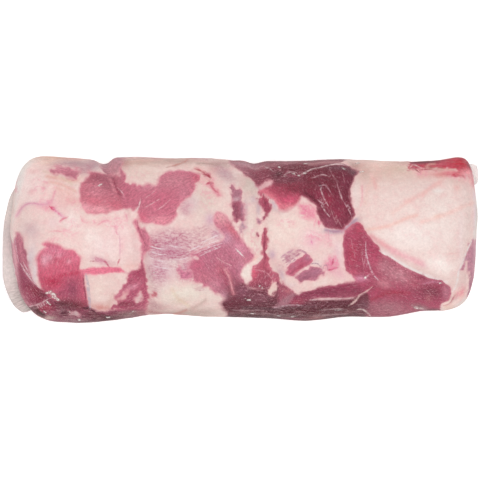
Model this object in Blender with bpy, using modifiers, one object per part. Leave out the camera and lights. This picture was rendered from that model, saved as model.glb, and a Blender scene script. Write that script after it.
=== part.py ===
"""Boneless pork picnic shoulder in its clear vacuum bag, lying on its flat underside.

The bag is shrunk tight on the meat, so bag and meat are one closed solid: a long
cushion-shaped log, with the seams where the boned-out muscles fold together, the
thick slabs of outer fat, and the stiff spare film past the seals at the bag's ends.
Metres, +X along the log, +Z up, origin under the middle of the bounding box.
"""

import math

import bmesh
import bpy
from mathutils import Vector, noise

# The log without the skirts: its two ends and the level where it is widest
LOG_LEFT = -0.1955
LOG_RIGHT = 0.2040
WIDEST_LEVEL = 0.044
BASE_PRESS = 0.0035

# Each end rounds off over this length, and its face swells a little
END_ROUNDING = 0.040
END_SWELL = 0.003

# Squareness of the section above and below its widest level, and of the corners in plan
SQUARE_ABOVE = 2.6
SQUARE_BELOW = 3.2
CORNER_LEFT_BACK = 4.5
CORNER_LEFT_FRONT = 3.0
CORNER_RIGHT_BACK = 7.0
CORNER_RIGHT_FRONT = 3.6

# Half widths towards the back (+Y) and the front (-Y), and the crest's height, along X
BACK_EDGE = [(-0.200, 0.0724), (-0.165, 0.0730), (-0.137, 0.0700), (-0.118, 0.0690),
             (-0.106, 0.0716), (-0.060, 0.0708), (-0.036, 0.0712), (0.012, 0.0692),
             (0.055, 0.0694), (0.090, 0.0704), (0.140, 0.0680), (0.170, 0.0690),
             (0.192, 0.0734), (0.205, 0.0734)]
FRONT_EDGE = [(-0.200, 0.0672), (-0.172, 0.0698), (-0.131, 0.0722), (-0.095, 0.0682),
              (-0.062, 0.0640), (-0.028, 0.0662), (0.015, 0.0680), (0.052, 0.0700),
              (0.100, 0.0668), (0.132, 0.0664), (0.157, 0.0620), (0.205, 0.0616)]
CREST = [(-0.200, 0.0880), (-0.155, 0.0932), (-0.118, 0.0915), (-0.070, 0.0945),
         (-0.020, 0.0930), (0.019, 0.0905), (0.062, 0.0945), (0.105, 0.0930),
         (0.155, 0.0945), (0.205, 0.0905)]

# Seams between muscles, seen from above: path, depth and half width
SEAMS = [
    ([(-0.118, 0.070), (-0.110, 0.056), (-0.101, 0.043), (-0.090, 0.022),
      (-0.087, 0.004), (-0.085, -0.020), (-0.080, -0.044), (-0.078, -0.056)], 0.0042, 0.0055),
    ([(0.012, 0.072), (0.017, 0.046), (0.020, 0.028), (0.018, 0.006), (0.020, -0.012),
      (0.030, -0.034), (0.033, -0.050)], 0.0034, 0.0060),
    ([(0.099, 0.064), (0.096, 0.050), (0.097, 0.030), (0.101, 0.014), (0.118, -0.009),
      (0.143, -0.026), (0.172, -0.038), (0.184, -0.048)], 0.0028, 0.0050),
    ([(0.050, -0.052), (0.078, -0.052), (0.104, -0.050), (0.116, -0.043)], 0.0022, 0.0045),
    ([(-0.199, -0.004), (-0.190, -0.034), (-0.176, -0.052), (-0.150, -0.062)], 0.0030, 0.0060),
    ([(-0.136, -0.022), (-0.132, -0.044), (-0.129, -0.060)], 0.0018, 0.0045),
]

# Swellings of single muscles and fat slabs: centre, reach along X and Y, height
SWELLINGS = [
    (-0.1955, -0.010, 0.012, 0.030, 0.0042),
    (-0.160, 0.028, 0.038, 0.036, 0.0022),
    (-0.119, 0.040, 0.020, 0.018, 0.0014),
    (-0.163, -0.026, 0.022, 0.020, 0.0016),
    (-0.048, 0.040, 0.030, 0.020, 0.0022),
    (-0.024, -0.012, 0.030, 0.024, 0.0020),
    (-0.058, -0.044, 0.026, 0.018, 0.0016),
    (0.050, 0.020, 0.026, 0.024, 0.0018),
    (0.074, 0.040, 0.018, 0.020, 0.0016),
    (0.080, -0.044, 0.034, 0.010, 0.0016),
    (0.148, 0.026, 0.040, 0.034, 0.0034),
    (0.146, -0.052, 0.034, 0.012, 0.0014),
    (0.203, 0.022, 0.012, 0.014, 0.0014),
]

# Seams and swellings fade out between these heights, down the sides to the flat underside
RELIEF_NONE = 0.010
RELIEF_FULL = 0.046

# Slow unevenness of soft meat under tight film
LUMP_SIZE = 0.034
LUMP_HEIGHT = 0.0012
LUMP_SEED = Vector((3.1, 7.7, 1.9))

# Grid of the log: segments along it, across its top and up its sides
SEGMENTS_ALONG = 68
SEGMENTS_ACROSS = 20
SEGMENTS_UP = 12
STRAIGHT_SHARE = 0.775

# Skirt of spare film past the seal at the left end, and the ear of film at the right:
# outer edge in plan, then thickness, reach into the log and narrowing there, level and waves
SKIRT_LEFT = [(-0.1925, 0.0480), (-0.1985, 0.0370), (-0.2015, 0.0255), (-0.2037, 0.0140),
              (-0.2046, -0.0005), (-0.2048, -0.0190), (-0.2044, -0.0330), (-0.2010, -0.0450),
              (-0.1955, -0.0558), (-0.1885, -0.0618), (-0.1830, -0.0615)]
EAR_RIGHT = [(0.1950, 0.0655), (0.2020, 0.0652), (0.2048, 0.0630), (0.2054, 0.0560),
             (0.2048, 0.0495), (0.2000, 0.0470)]
FILM_THICKNESS = 0.0024
FILM_ROOT = 0.016
ROOT_NARROWING = 0.12
FILM_LEVEL = 0.045
SKIRT_WAVE = 0.0016
SKIRT_WAVE_COUNT = 5
SKIRT_SEGMENTS = 30
EAR_SEGMENTS = 8
FILM_SEGMENTS_OUT = 4


def through_points(points, where):
    """Value at where of a smooth curve through (place, value) points."""
    if where <= points[0][0]:
        return points[0][1]
    if where >= points[-1][0]:
        return points[-1][1]
    after = next(i for i, point in enumerate(points) if point[0] > where)
    before = after - 1
    (x0, y0), (x1, y1) = points[before], points[after]
    left = points[max(before - 1, 0)]
    right = points[min(after + 1, len(points) - 1)]
    slope0 = (y1 - left[1]) / (x1 - left[0])
    slope1 = (right[1] - y0) / (right[0] - x0)
    span = x1 - x0
    t = (where - x0) / span
    return ((2 * t**3 - 3 * t**2 + 1) * y0 + (t**3 - 2 * t**2 + t) * slope0 * span
            + (3 * t**2 - 2 * t**3) * y1 + (t**3 - t**2) * slope1 * span)


def distance_to_path(x, y, path):
    """Distance in plan from a point to a path of straight runs."""
    nearest = math.inf
    for (x0, y0), (x1, y1) in zip(path, path[1:]):
        run_x = x1 - x0
        run_y = y1 - y0
        along = ((x - x0) * run_x + (y - y0) * run_y) / (run_x**2 + run_y**2)
        along = min(max(along, 0.0), 1.0)
        nearest = min(nearest, math.hypot(x - x0 - along * run_x, y - y0 - along * run_y))
    return nearest


def smooth_step(low, high, value):
    """0 below low, 1 above high, and a smooth rise between them."""
    share = min(max((value - low) / (high - low), 0.0), 1.0)
    return share * share * (3 - 2 * share)


def relief(point):
    """How far the surface stands out, or in where negative, from the plain log."""
    height = 0.0
    for centre_x, centre_y, reach_x, reach_y, rise in SWELLINGS:
        away = ((point.x - centre_x) / reach_x)**2 + ((point.y - centre_y) / reach_y)**2
        height += rise * math.exp(-away)
    for path, depth, half_width in SEAMS:
        away = distance_to_path(point.x, point.y, path) / half_width
        height -= depth * math.exp(-away * away)
    shown = smooth_step(RELIEF_NONE, RELIEF_FULL, point.z)
    lump = LUMP_HEIGHT * noise.noise(point / LUMP_SIZE + LUMP_SEED)
    return height * shown + lump


def log_point(corner):
    """Place on the log of a point of the grid box, whose sides run from -1 to 1."""
    reach = max(abs(corner.y), abs(corner.z))
    end = 1.0 if corner.x > 0 else -1.0
    if reach < 1.0:
        turn = math.radians(90 - 45 * reach)
    else:
        turn = math.radians(45) * max(0.0, abs(corner.x) - STRAIGHT_SHARE) / (1 - STRAIGHT_SHARE)

    across = corner.y / max(reach, 1e-9)
    up = corner.z / max(reach, 1e-9)
    if abs(up) >= abs(across):
        side = math.sin(math.radians(45) * across)
        rise = math.copysign(math.cos(math.radians(45) * across), up)
    else:
        side = math.copysign(math.cos(math.radians(45) * up), across)
        rise = math.sin(math.radians(45) * up)

    towards_back = 0.5 + 0.5 * side
    if end > 0:
        squareness = CORNER_RIGHT_FRONT + (CORNER_RIGHT_BACK - CORNER_RIGHT_FRONT) * towards_back
        shoulder = LOG_RIGHT - END_ROUNDING
    else:
        squareness = CORNER_LEFT_FRONT + (CORNER_LEFT_BACK - CORNER_LEFT_FRONT) * towards_back
        shoulder = LOG_LEFT + END_ROUNDING
    stretch = (math.cos(turn)**squareness + math.sin(turn)**squareness)**(-1 / squareness)
    section_scale = stretch * math.cos(turn)
    along_end = ((END_ROUNDING - END_SWELL) * stretch * math.sin(turn)
                 + END_SWELL * (1 - section_scale**2))
    if turn > 0:
        x = shoulder + end * along_end
    else:
        x = shoulder * abs(corner.x) / STRAIGHT_SHARE

    half_width = through_points(BACK_EDGE if side > 0 else FRONT_EDGE, x)
    if rise > 0:
        square = SQUARE_ABOVE
        half_height = through_points(CREST, x) - WIDEST_LEVEL
    else:
        square = SQUARE_BELOW
        half_height = WIDEST_LEVEL + BASE_PRESS
    spread = (abs(side)**square + abs(rise)**square)**(-1 / square) * section_scale
    plain = Vector((x, half_width * spread * side, WIDEST_LEVEL + half_height * spread * rise))

    outward = Vector((0, side, rise)).normalized() * math.cos(turn)
    outward += Vector((end * math.sin(turn), 0, 0))
    point = plain + outward.normalized() * relief(plain)
    point.z = max(point.z, 0.0)
    return point


def make_log(collection):
    """The bagged meat: a finely divided box, every point of it moved onto the log."""
    bm = bmesh.new()
    bmesh.ops.create_cube(bm, size=2.0)
    for axis, segments in enumerate((SEGMENTS_ALONG, SEGMENTS_ACROSS, SEGMENTS_UP)):
        parallel = [e for e in bm.edges
                    if abs((e.verts[0].co - e.verts[1].co)[axis]) > 1.9]
        bmesh.ops.subdivide_edges(bm, edges=parallel, cuts=segments - 1, use_grid_fill=True)
    for vertex in bm.verts:
        vertex.co = log_point(vertex.co)
    bmesh.ops.triangulate(bm, faces=bm.faces)
    bmesh.ops.recalc_face_normals(bm, faces=bm.faces)
    mesh = bpy.data.meshes.new("sealed_bag")
    bm.to_mesh(mesh)
    bm.free()
    mesh.shade_smooth()
    log = bpy.data.objects.new("sealed_bag", mesh)
    collection.objects.link(log)
    return log


def make_spare_film(name, outer_edge, end, segments, waves, collection):
    """Spare film at one end: a strip with a wavy edge, given its thickness by Solidify."""
    bm = bmesh.new()
    bmesh.ops.create_grid(bm, x_segments=segments, y_segments=FILM_SEGMENTS_OUT, size=1.0)
    steps = len(outer_edge) - 1
    edge_x = [(i / steps, x) for i, (x, y) in enumerate(outer_edge)]
    edge_y = [(i / steps, y) for i, (x, y) in enumerate(outer_edge)]
    for vertex in bm.verts:
        along = 0.5 + 0.5 * vertex.co.x
        out = 0.5 + 0.5 * vertex.co.y
        x = through_points(edge_x, along) - end * FILM_ROOT * (1 - out)
        y = through_points(edge_y, along) * (1 - ROOT_NARROWING * (1 - out))
        wave = SKIRT_WAVE * out * math.sin(2 * math.pi * waves * along)
        vertex.co = Vector((x, y, FILM_LEVEL + wave))
    bmesh.ops.recalc_face_normals(bm, faces=bm.faces)
    mesh = bpy.data.meshes.new(name)
    bm.to_mesh(mesh)
    bm.free()
    strip = bpy.data.objects.new(name, mesh)
    collection.objects.link(strip)
    wall = strip.modifiers.new("wall", "SOLIDIFY")
    wall.thickness = FILM_THICKNESS
    wall.offset = 0.0


def join_spare_film(log, strips):
    """One union fuses the spare film to the log, as both are the same bag."""
    union = log.modifiers.new("spare_film", "BOOLEAN")
    union.operation = "UNION"
    union.operand_type = "COLLECTION"
    union.collection = strips
    union.solver = "EXACT"
    evaluated = log.evaluated_get(bpy.context.evaluated_depsgraph_get())
    joined = bpy.data.meshes.new_from_object(evaluated)
    log.modifiers.clear()
    log.data = joined
    for strip in list(strips.objects):
        bpy.data.objects.remove(strip)
    bpy.data.collections.remove(strips)


def centre_on_origin(log):
    """Sets the middle of the bounding box over the origin, with the underside at Z = 0."""
    corners = [vertex.co for vertex in log.data.vertices]
    middle_x = (min(c.x for c in corners) + max(c.x for c in corners)) / 2
    middle_y = (min(c.y for c in corners) + max(c.y for c in corners)) / 2
    for vertex in log.data.vertices:
        vertex.co.x -= middle_x
        vertex.co.y -= middle_y
    log.data.name = "sealed_bag"


def pork_under_film():
    """Raw pork through clear film: rose red on the whole, with the film's gloss."""
    material = bpy.data.materials.new("pork_under_film")
    material.use_nodes = True
    shader = material.node_tree.nodes["Principled BSDF"]
    shader.inputs["Base Color"].default_value = (0.66, 0.33, 0.35, 1.0)
    shader.inputs["Metallic"].default_value = 0.0
    shader.inputs["Roughness"].default_value = 0.28
    material.diffuse_color = (0.66, 0.33, 0.35, 1.0)
    return material


def main():
    for old in list(bpy.data.objects):
        bpy.data.objects.remove(old)
    parts = bpy.data.collections.new("pork_picnic_shoulder")
    bpy.context.scene.collection.children.link(parts)
    spare_film = bpy.data.collections.new("spare_film")
    bpy.context.scene.collection.children.link(spare_film)

    log = make_log(parts)
    make_spare_film("skirt_left", SKIRT_LEFT, -1.0, SKIRT_SEGMENTS, SKIRT_WAVE_COUNT, spare_film)
    make_spare_film("ear_right", EAR_RIGHT, 1.0, EAR_SEGMENTS, 1, spare_film)
    join_spare_film(log, spare_film)
    centre_on_origin(log)
    log.data.materials.clear()
    log.data.materials.append(pork_under_film())


main()
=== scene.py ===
"""Boneless pork picnic shoulder in its clear vacuum bag: the looks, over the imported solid."""

import bmesh
import bpy
import numpy as np
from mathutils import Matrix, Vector, noise


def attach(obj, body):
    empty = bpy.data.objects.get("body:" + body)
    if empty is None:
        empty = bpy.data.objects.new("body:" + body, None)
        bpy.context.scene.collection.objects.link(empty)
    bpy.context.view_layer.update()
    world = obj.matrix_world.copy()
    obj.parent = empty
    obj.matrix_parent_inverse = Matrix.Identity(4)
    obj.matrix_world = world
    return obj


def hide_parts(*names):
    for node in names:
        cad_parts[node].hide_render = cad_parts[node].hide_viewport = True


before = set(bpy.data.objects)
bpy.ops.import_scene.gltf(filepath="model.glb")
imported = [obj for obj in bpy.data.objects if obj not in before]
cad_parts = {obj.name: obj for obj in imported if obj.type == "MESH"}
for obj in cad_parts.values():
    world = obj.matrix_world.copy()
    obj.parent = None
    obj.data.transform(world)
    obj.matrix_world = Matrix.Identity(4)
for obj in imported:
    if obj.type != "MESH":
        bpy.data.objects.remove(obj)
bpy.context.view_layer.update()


# The pork
# A picnic shoulder, boned out, folded shut and drawn in by the vacuum to one long cushion-shaped
# log on a flat underside: rose to plum muscles between slabs of creamy white fat, with silvery
# sinews where one muscle slides on another. The film lies on it, so both follow its form.

# The log in metres, and how square its section is above and below its widest level
LOG_LEFT = -0.1955
LOG_RIGHT = 0.2040
WIDEST_LEVEL = 0.044
BASE_PRESS = 0.0035
END_ROUNDING = 0.040
END_SWELL = 0.003
SQUARE_ABOVE = 2.6
SQUARE_BELOW = 3.2
# How square each end's front and back corners are, seen from above
CORNER_LEFT = (3.0, 4.5)
CORNER_RIGHT = (3.6, 7.0)
# Share of the grid that goes to the log between its rounded ends
STRAIGHT_SHARE = 0.775
# Along the log: half width to the back, half width to the front, and height of the crest
BACK_EDGE = [(-0.200, 0.0724), (-0.165, 0.0730), (-0.137, 0.0700), (-0.118, 0.0690),
             (-0.106, 0.0716), (-0.060, 0.0708), (-0.036, 0.0712), (0.012, 0.0692),
             (0.055, 0.0694), (0.090, 0.0704), (0.140, 0.0680), (0.170, 0.0690),
             (0.192, 0.0734), (0.205, 0.0734)]
FRONT_EDGE = [(-0.200, 0.0672), (-0.172, 0.0698), (-0.131, 0.0722), (-0.095, 0.0682),
              (-0.062, 0.0640), (-0.028, 0.0662), (0.015, 0.0680), (0.052, 0.0700),
              (0.100, 0.0668), (0.132, 0.0664), (0.157, 0.0620), (0.205, 0.0616)]
CREST = [(-0.200, 0.0880), (-0.155, 0.0932), (-0.118, 0.0915), (-0.070, 0.0945),
         (-0.020, 0.0930), (0.019, 0.0905), (0.062, 0.0945), (0.105, 0.0930),
         (0.155, 0.0945), (0.205, 0.0905)]
# Seams between the muscles: path, depth and half width
SEAMS = [
    ([(-0.118, 0.070), (-0.110, 0.056), (-0.101, 0.043), (-0.090, 0.022),
      (-0.087, 0.004), (-0.085, -0.020), (-0.080, -0.044), (-0.078, -0.056)], 0.0042, 0.0055),
    ([(0.012, 0.072), (0.017, 0.046), (0.020, 0.028), (0.018, 0.006), (0.020, -0.012),
      (0.030, -0.034), (0.033, -0.050)], 0.0034, 0.0060),
    ([(0.099, 0.064), (0.096, 0.050), (0.097, 0.030), (0.101, 0.014), (0.118, -0.009),
      (0.143, -0.026), (0.172, -0.038), (0.184, -0.048)], 0.0028, 0.0050),
    ([(0.050, -0.052), (0.078, -0.052), (0.104, -0.050), (0.116, -0.043)], 0.0022, 0.0045),
    ([(-0.199, -0.004), (-0.190, -0.034), (-0.176, -0.052), (-0.150, -0.062)], 0.0030, 0.0060),
    ([(-0.136, -0.022), (-0.132, -0.044), (-0.129, -0.060)], 0.0018, 0.0045),
]
# Swellings of single muscles and fat slabs: centre, reach along and across, and height
SWELLINGS = [
    (-0.1955, -0.010, 0.012, 0.030, 0.0042),
    (-0.160, 0.028, 0.038, 0.036, 0.0022), (-0.119, 0.040, 0.020, 0.018, 0.0014),
    (-0.163, -0.026, 0.022, 0.020, 0.0016), (-0.048, 0.040, 0.030, 0.020, 0.0022),
    (-0.024, -0.012, 0.030, 0.024, 0.0020), (-0.058, -0.044, 0.026, 0.018, 0.0016),
    (0.050, 0.020, 0.026, 0.024, 0.0018), (0.074, 0.040, 0.018, 0.020, 0.0016),
    (0.080, -0.044, 0.034, 0.010, 0.0016), (0.148, 0.026, 0.040, 0.034, 0.0034),
    (0.146, -0.052, 0.034, 0.012, 0.0014), (0.203, 0.022, 0.012, 0.014, 0.0014),
]
# Levels below which the relief is gone and above which it is whole
RELIEF_NONE = 0.010
RELIEF_FULL = 0.046
LUMP_SIZE = 0.034
LUMP_HEIGHT = 0.0012
LUMP_SEED = (3.1, 7.7, 1.9)
# From the middle of the view to the middle of the box, in metres
BOX_SHIFT = np.array((-0.00033, -0.00024, 0.0))


def through_points(points, where):
    """Values at where of a smooth curve through (place, value) points."""
    place, value = np.array(points, float).T
    where = np.clip(where, place[0], place[-1])
    after = np.clip(np.searchsorted(place, where, side="right"), 1, len(place) - 1)
    before = after - 1
    left = np.maximum(before - 1, 0)
    right = np.minimum(after + 1, len(place) - 1)
    slope0 = (value[after] - value[left]) / (place[after] - place[left])
    slope1 = (value[right] - value[before]) / (place[right] - place[before])
    span = place[after] - place[before]
    t = (where - place[before]) / span
    return ((2 * t**3 - 3 * t**2 + 1) * value[before] + (t**3 - 2 * t**2 + t) * slope0 * span
            + (3 * t**2 - 2 * t**3) * value[after] + (t**3 - t**2) * slope1 * span)


def smooth_step(low, high, value):
    """0 below low, 1 above high, and a smooth rise between them."""
    share = np.clip((value - low) / (high - low), 0.0, 1.0)
    return share * share * (3 - 2 * share)


def to_run(places, start, end):
    """Distance from places to a straight run, and the share along it of the nearest point."""
    run = np.subtract(end, start)
    along = np.clip(((places - start) @ run) / max(run @ run, 1e-12), 0.0, 1.0)
    away = places - start - along[:, None] * run
    return np.hypot(away[:, 0], away[:, 1]), along


def to_path(places, path):
    """Distance from places to the nearest run of a path."""
    return np.min([to_run(places, start, stop)[0] for start, stop in zip(path, path[1:])], axis=0)


def noise_at(places, size, seed):
    """Smooth noise from -1 to 1 at each place, with lumps of the given size."""
    scaled = places / size + seed
    return np.array([noise.noise(Vector(place)) for place in scaled])


def unit(vectors):
    """The same directions at length 1."""
    return vectors / np.maximum(np.linalg.norm(vectors, axis=1, keepdims=True), 1e-12)


class BagForm:
    """Points of a finely divided box moved onto the form, with what the painting needs."""

    def __init__(self, corners):
        across_all = np.abs(corners[:, 1:]).max(axis=1)
        reach = np.maximum(across_all, 1e-9)
        end = np.where(corners[:, 0] > 0, 1.0, -1.0)
        past = np.maximum(0.0, np.abs(corners[:, 0]) - STRAIGHT_SHARE) / (1 - STRAIGHT_SHARE)
        turn = np.radians(np.where(across_all < 1.0, 90 - 45 * across_all, 45 * past))
        across = corners[:, 1] / reach
        up = corners[:, 2] / reach
        eighth = np.radians(45)
        flat = np.abs(up) >= np.abs(across)
        side = np.where(flat, np.sin(eighth * across), np.sign(across) * np.cos(eighth * up))
        rise = np.where(flat, np.sign(up) * np.cos(eighth * across), np.sin(eighth * up))

        front = np.where(end > 0, CORNER_RIGHT[0], CORNER_LEFT[0])
        back = np.where(end > 0, CORNER_RIGHT[1], CORNER_LEFT[1])
        squareness = front + (back - front) * (0.5 + 0.5 * side)
        shoulder = np.where(end > 0, LOG_RIGHT - END_ROUNDING, LOG_LEFT + END_ROUNDING)
        stretch = (np.cos(turn)**squareness + np.sin(turn)**squareness)**(-1 / squareness)
        scale = stretch * np.cos(turn)
        along_end = ((END_ROUNDING - END_SWELL) * stretch * np.sin(turn) + END_SWELL * (1 - scale**2))
        straight = shoulder * np.abs(corners[:, 0]) / STRAIGHT_SHARE
        x = np.where(turn > 0, shoulder + end * along_end, straight)

        half_width = np.where(side > 0, through_points(BACK_EDGE, x), through_points(FRONT_EDGE, x))
        above = rise > 0
        square = np.where(above, SQUARE_ABOVE, SQUARE_BELOW)
        half_height = np.where(above, through_points(CREST, x) - WIDEST_LEVEL, WIDEST_LEVEL + BASE_PRESS)
        spread = (np.abs(side)**square + np.abs(rise)**square)**(-1 / square) * scale
        plain = np.column_stack((x, half_width * spread * side, WIDEST_LEVEL + half_height * spread * rise))

        outward = unit(np.column_stack((end * np.sin(turn), side * np.cos(turn), rise * np.cos(turn))))
        self.points = plain + outward * self.relief(plain)[:, None]
        self.points[:, 2] = np.maximum(self.points[:, 2], 0.0)
        widest = half_width * scale
        below = np.maximum(WIDEST_LEVEL - plain[:, 2], 0.0)
        from_middle = np.abs(plain[:, 1])
        down = np.where(above, from_middle, widest + below + np.maximum(widest - from_middle, 0.0))
        # Places in mm: along the log, and across it going on down the sides
        self.wrap = 1000 * np.column_stack((x, np.sign(side + 1e-9) * down))
        self.turn = np.degrees(turn)
        self.end = end
        self.points += BOX_SHIFT

    @staticmethod
    def relief(plain):
        """How far the surface stands out from the plain log: swellings, seams and lumps."""
        height = np.zeros(len(plain))
        for centre_x, centre_y, reach_x, reach_y, rise in SWELLINGS:
            away = ((plain[:, 0] - centre_x) / reach_x)**2 + ((plain[:, 1] - centre_y) / reach_y)**2
            height += rise * np.exp(-away)
        for path, depth, half_width in SEAMS:
            height -= depth * np.exp(-(to_path(plain[:, :2], path) / half_width)**2)
        shown = smooth_step(RELIEF_NONE, RELIEF_FULL, plain[:, 2])
        return height * shown + LUMP_HEIGHT * noise_at(plain, LUMP_SIZE, LUMP_SEED)


def divided_box(name, along, across, up):
    """A box whose sides run from -1 to 1, cut into a fine grid, and the places of its points."""
    bm = bmesh.new()
    bmesh.ops.create_cube(bm, size=2.0)
    nearly_whole = 1.9
    for axis, segments in enumerate((along, across, up)):
        parallel = [edge for edge in bm.edges
                    if abs((edge.verts[0].co - edge.verts[1].co)[axis]) > nearly_whole]
        bmesh.ops.subdivide_edges(bm, edges=parallel, cuts=segments - 1, use_grid_fill=True)
    bmesh.ops.recalc_face_normals(bm, faces=bm.faces)
    mesh = bpy.data.meshes.new(name)
    bm.to_mesh(mesh)
    bm.free()
    mesh.shade_smooth()
    corners = np.empty(3 * len(mesh.vertices))
    mesh.vertices.foreach_get("co", corners)
    return mesh, corners.reshape(-1, 3)


def place_points(mesh, points):
    """Moves a mesh's points and gives back their new normals."""
    mesh.vertices.foreach_set("co", points.ravel())
    mesh.update()
    normals = np.empty(3 * len(mesh.vertices))
    mesh.vertex_normals.foreach_get("vector", normals)
    return normals.reshape(-1, 3)


# How finely the meat is divided, and how deep in metres it lies under the film
MEAT_ALONG = 286
MEAT_ACROSS = 92
MEAT_UP = 60
UNDER_FILM = 0.0005
# Fat and lean are painted in patches that are drawn in mm: X along the log and Y across it, going
# on past 72 down the sides, so that a muscle which runs over the edge stays in one piece. The shift
# puts them on the log, and the reach is how far from an outline its depth is measured.
VIEW_SHIFT = np.array((-0.4, 0.4))
PAINT_REACH = 8.0
# Depths in mm over which a patch's colour comes in: at the outline beside others of its own kind,
# and outside it beside the other kind, because the border there wanders
NARROW_BLEND = (-1.2, 0.6)
WIDE_BLEND = (-5.0, -2.0)
FIBRE_OVERLAP = 1.0
# Sinews and veins, in mm: the points near a line carry it whole up to the fade, and not past the
# reach. Its tips keep a share of its width, and the last two widths are too thin to show.
LINE_FADE = 1.6
LINE_REACH = 3.4
LINE_TIP_SHARE = 0.25
NO_LINE = -1.0
FADED_LINE = -1.2


def to_linear(code):
    """An sRGB hex colour as linear red, green and blue."""
    shares = [int(code[i:i + 2], 16) / 255 for i in (0, 2, 4)]
    return np.array([s / 12.92 if s <= 0.04045 else ((s + 0.055) / 1.055)**2.4 for s in shares])


def rounded(points, closed):
    """A smooth curve through given points, three steps to each."""
    points = np.array(points, float) + VIEW_SHIFT
    if closed:
        padded = np.vstack((points[-1:], points, points[:2]))
    else:
        padded = np.vstack((points[:1], points, points[-1:]))
    curve = []
    for before, start, stop, after in zip(padded, padded[1:], padded[2:], padded[3:]):
        for t in (0, 1 / 3, 2 / 3):
            curve.append(0.5 * (2 * start + (stop - before) * t
                                + (2 * before - 5 * start + 4 * stop - after) * t**2
                                + (3 * start - before - 3 * stop + after) * t**3))
    if not closed:
        curve.append(points[-1])
    return np.array(curve)


def turned_by(places, degrees):
    """Places along and across a direction that is turned by so many degrees."""
    turn = np.radians(degrees)
    return np.column_stack((places @ (np.cos(turn), np.sin(turn)), places @ (-np.sin(turn), np.cos(turn))))


def from_spot(places, x, y, reach_x, reach_y, turn=0):
    """Distance of each place from a long or round spot, 1 at the spot's reach."""
    away = turned_by(places - np.array((x, y)) - VIEW_SHIFT, turn) / (reach_x, reach_y)
    return np.hypot(away[:, 0], away[:, 1])


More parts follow.
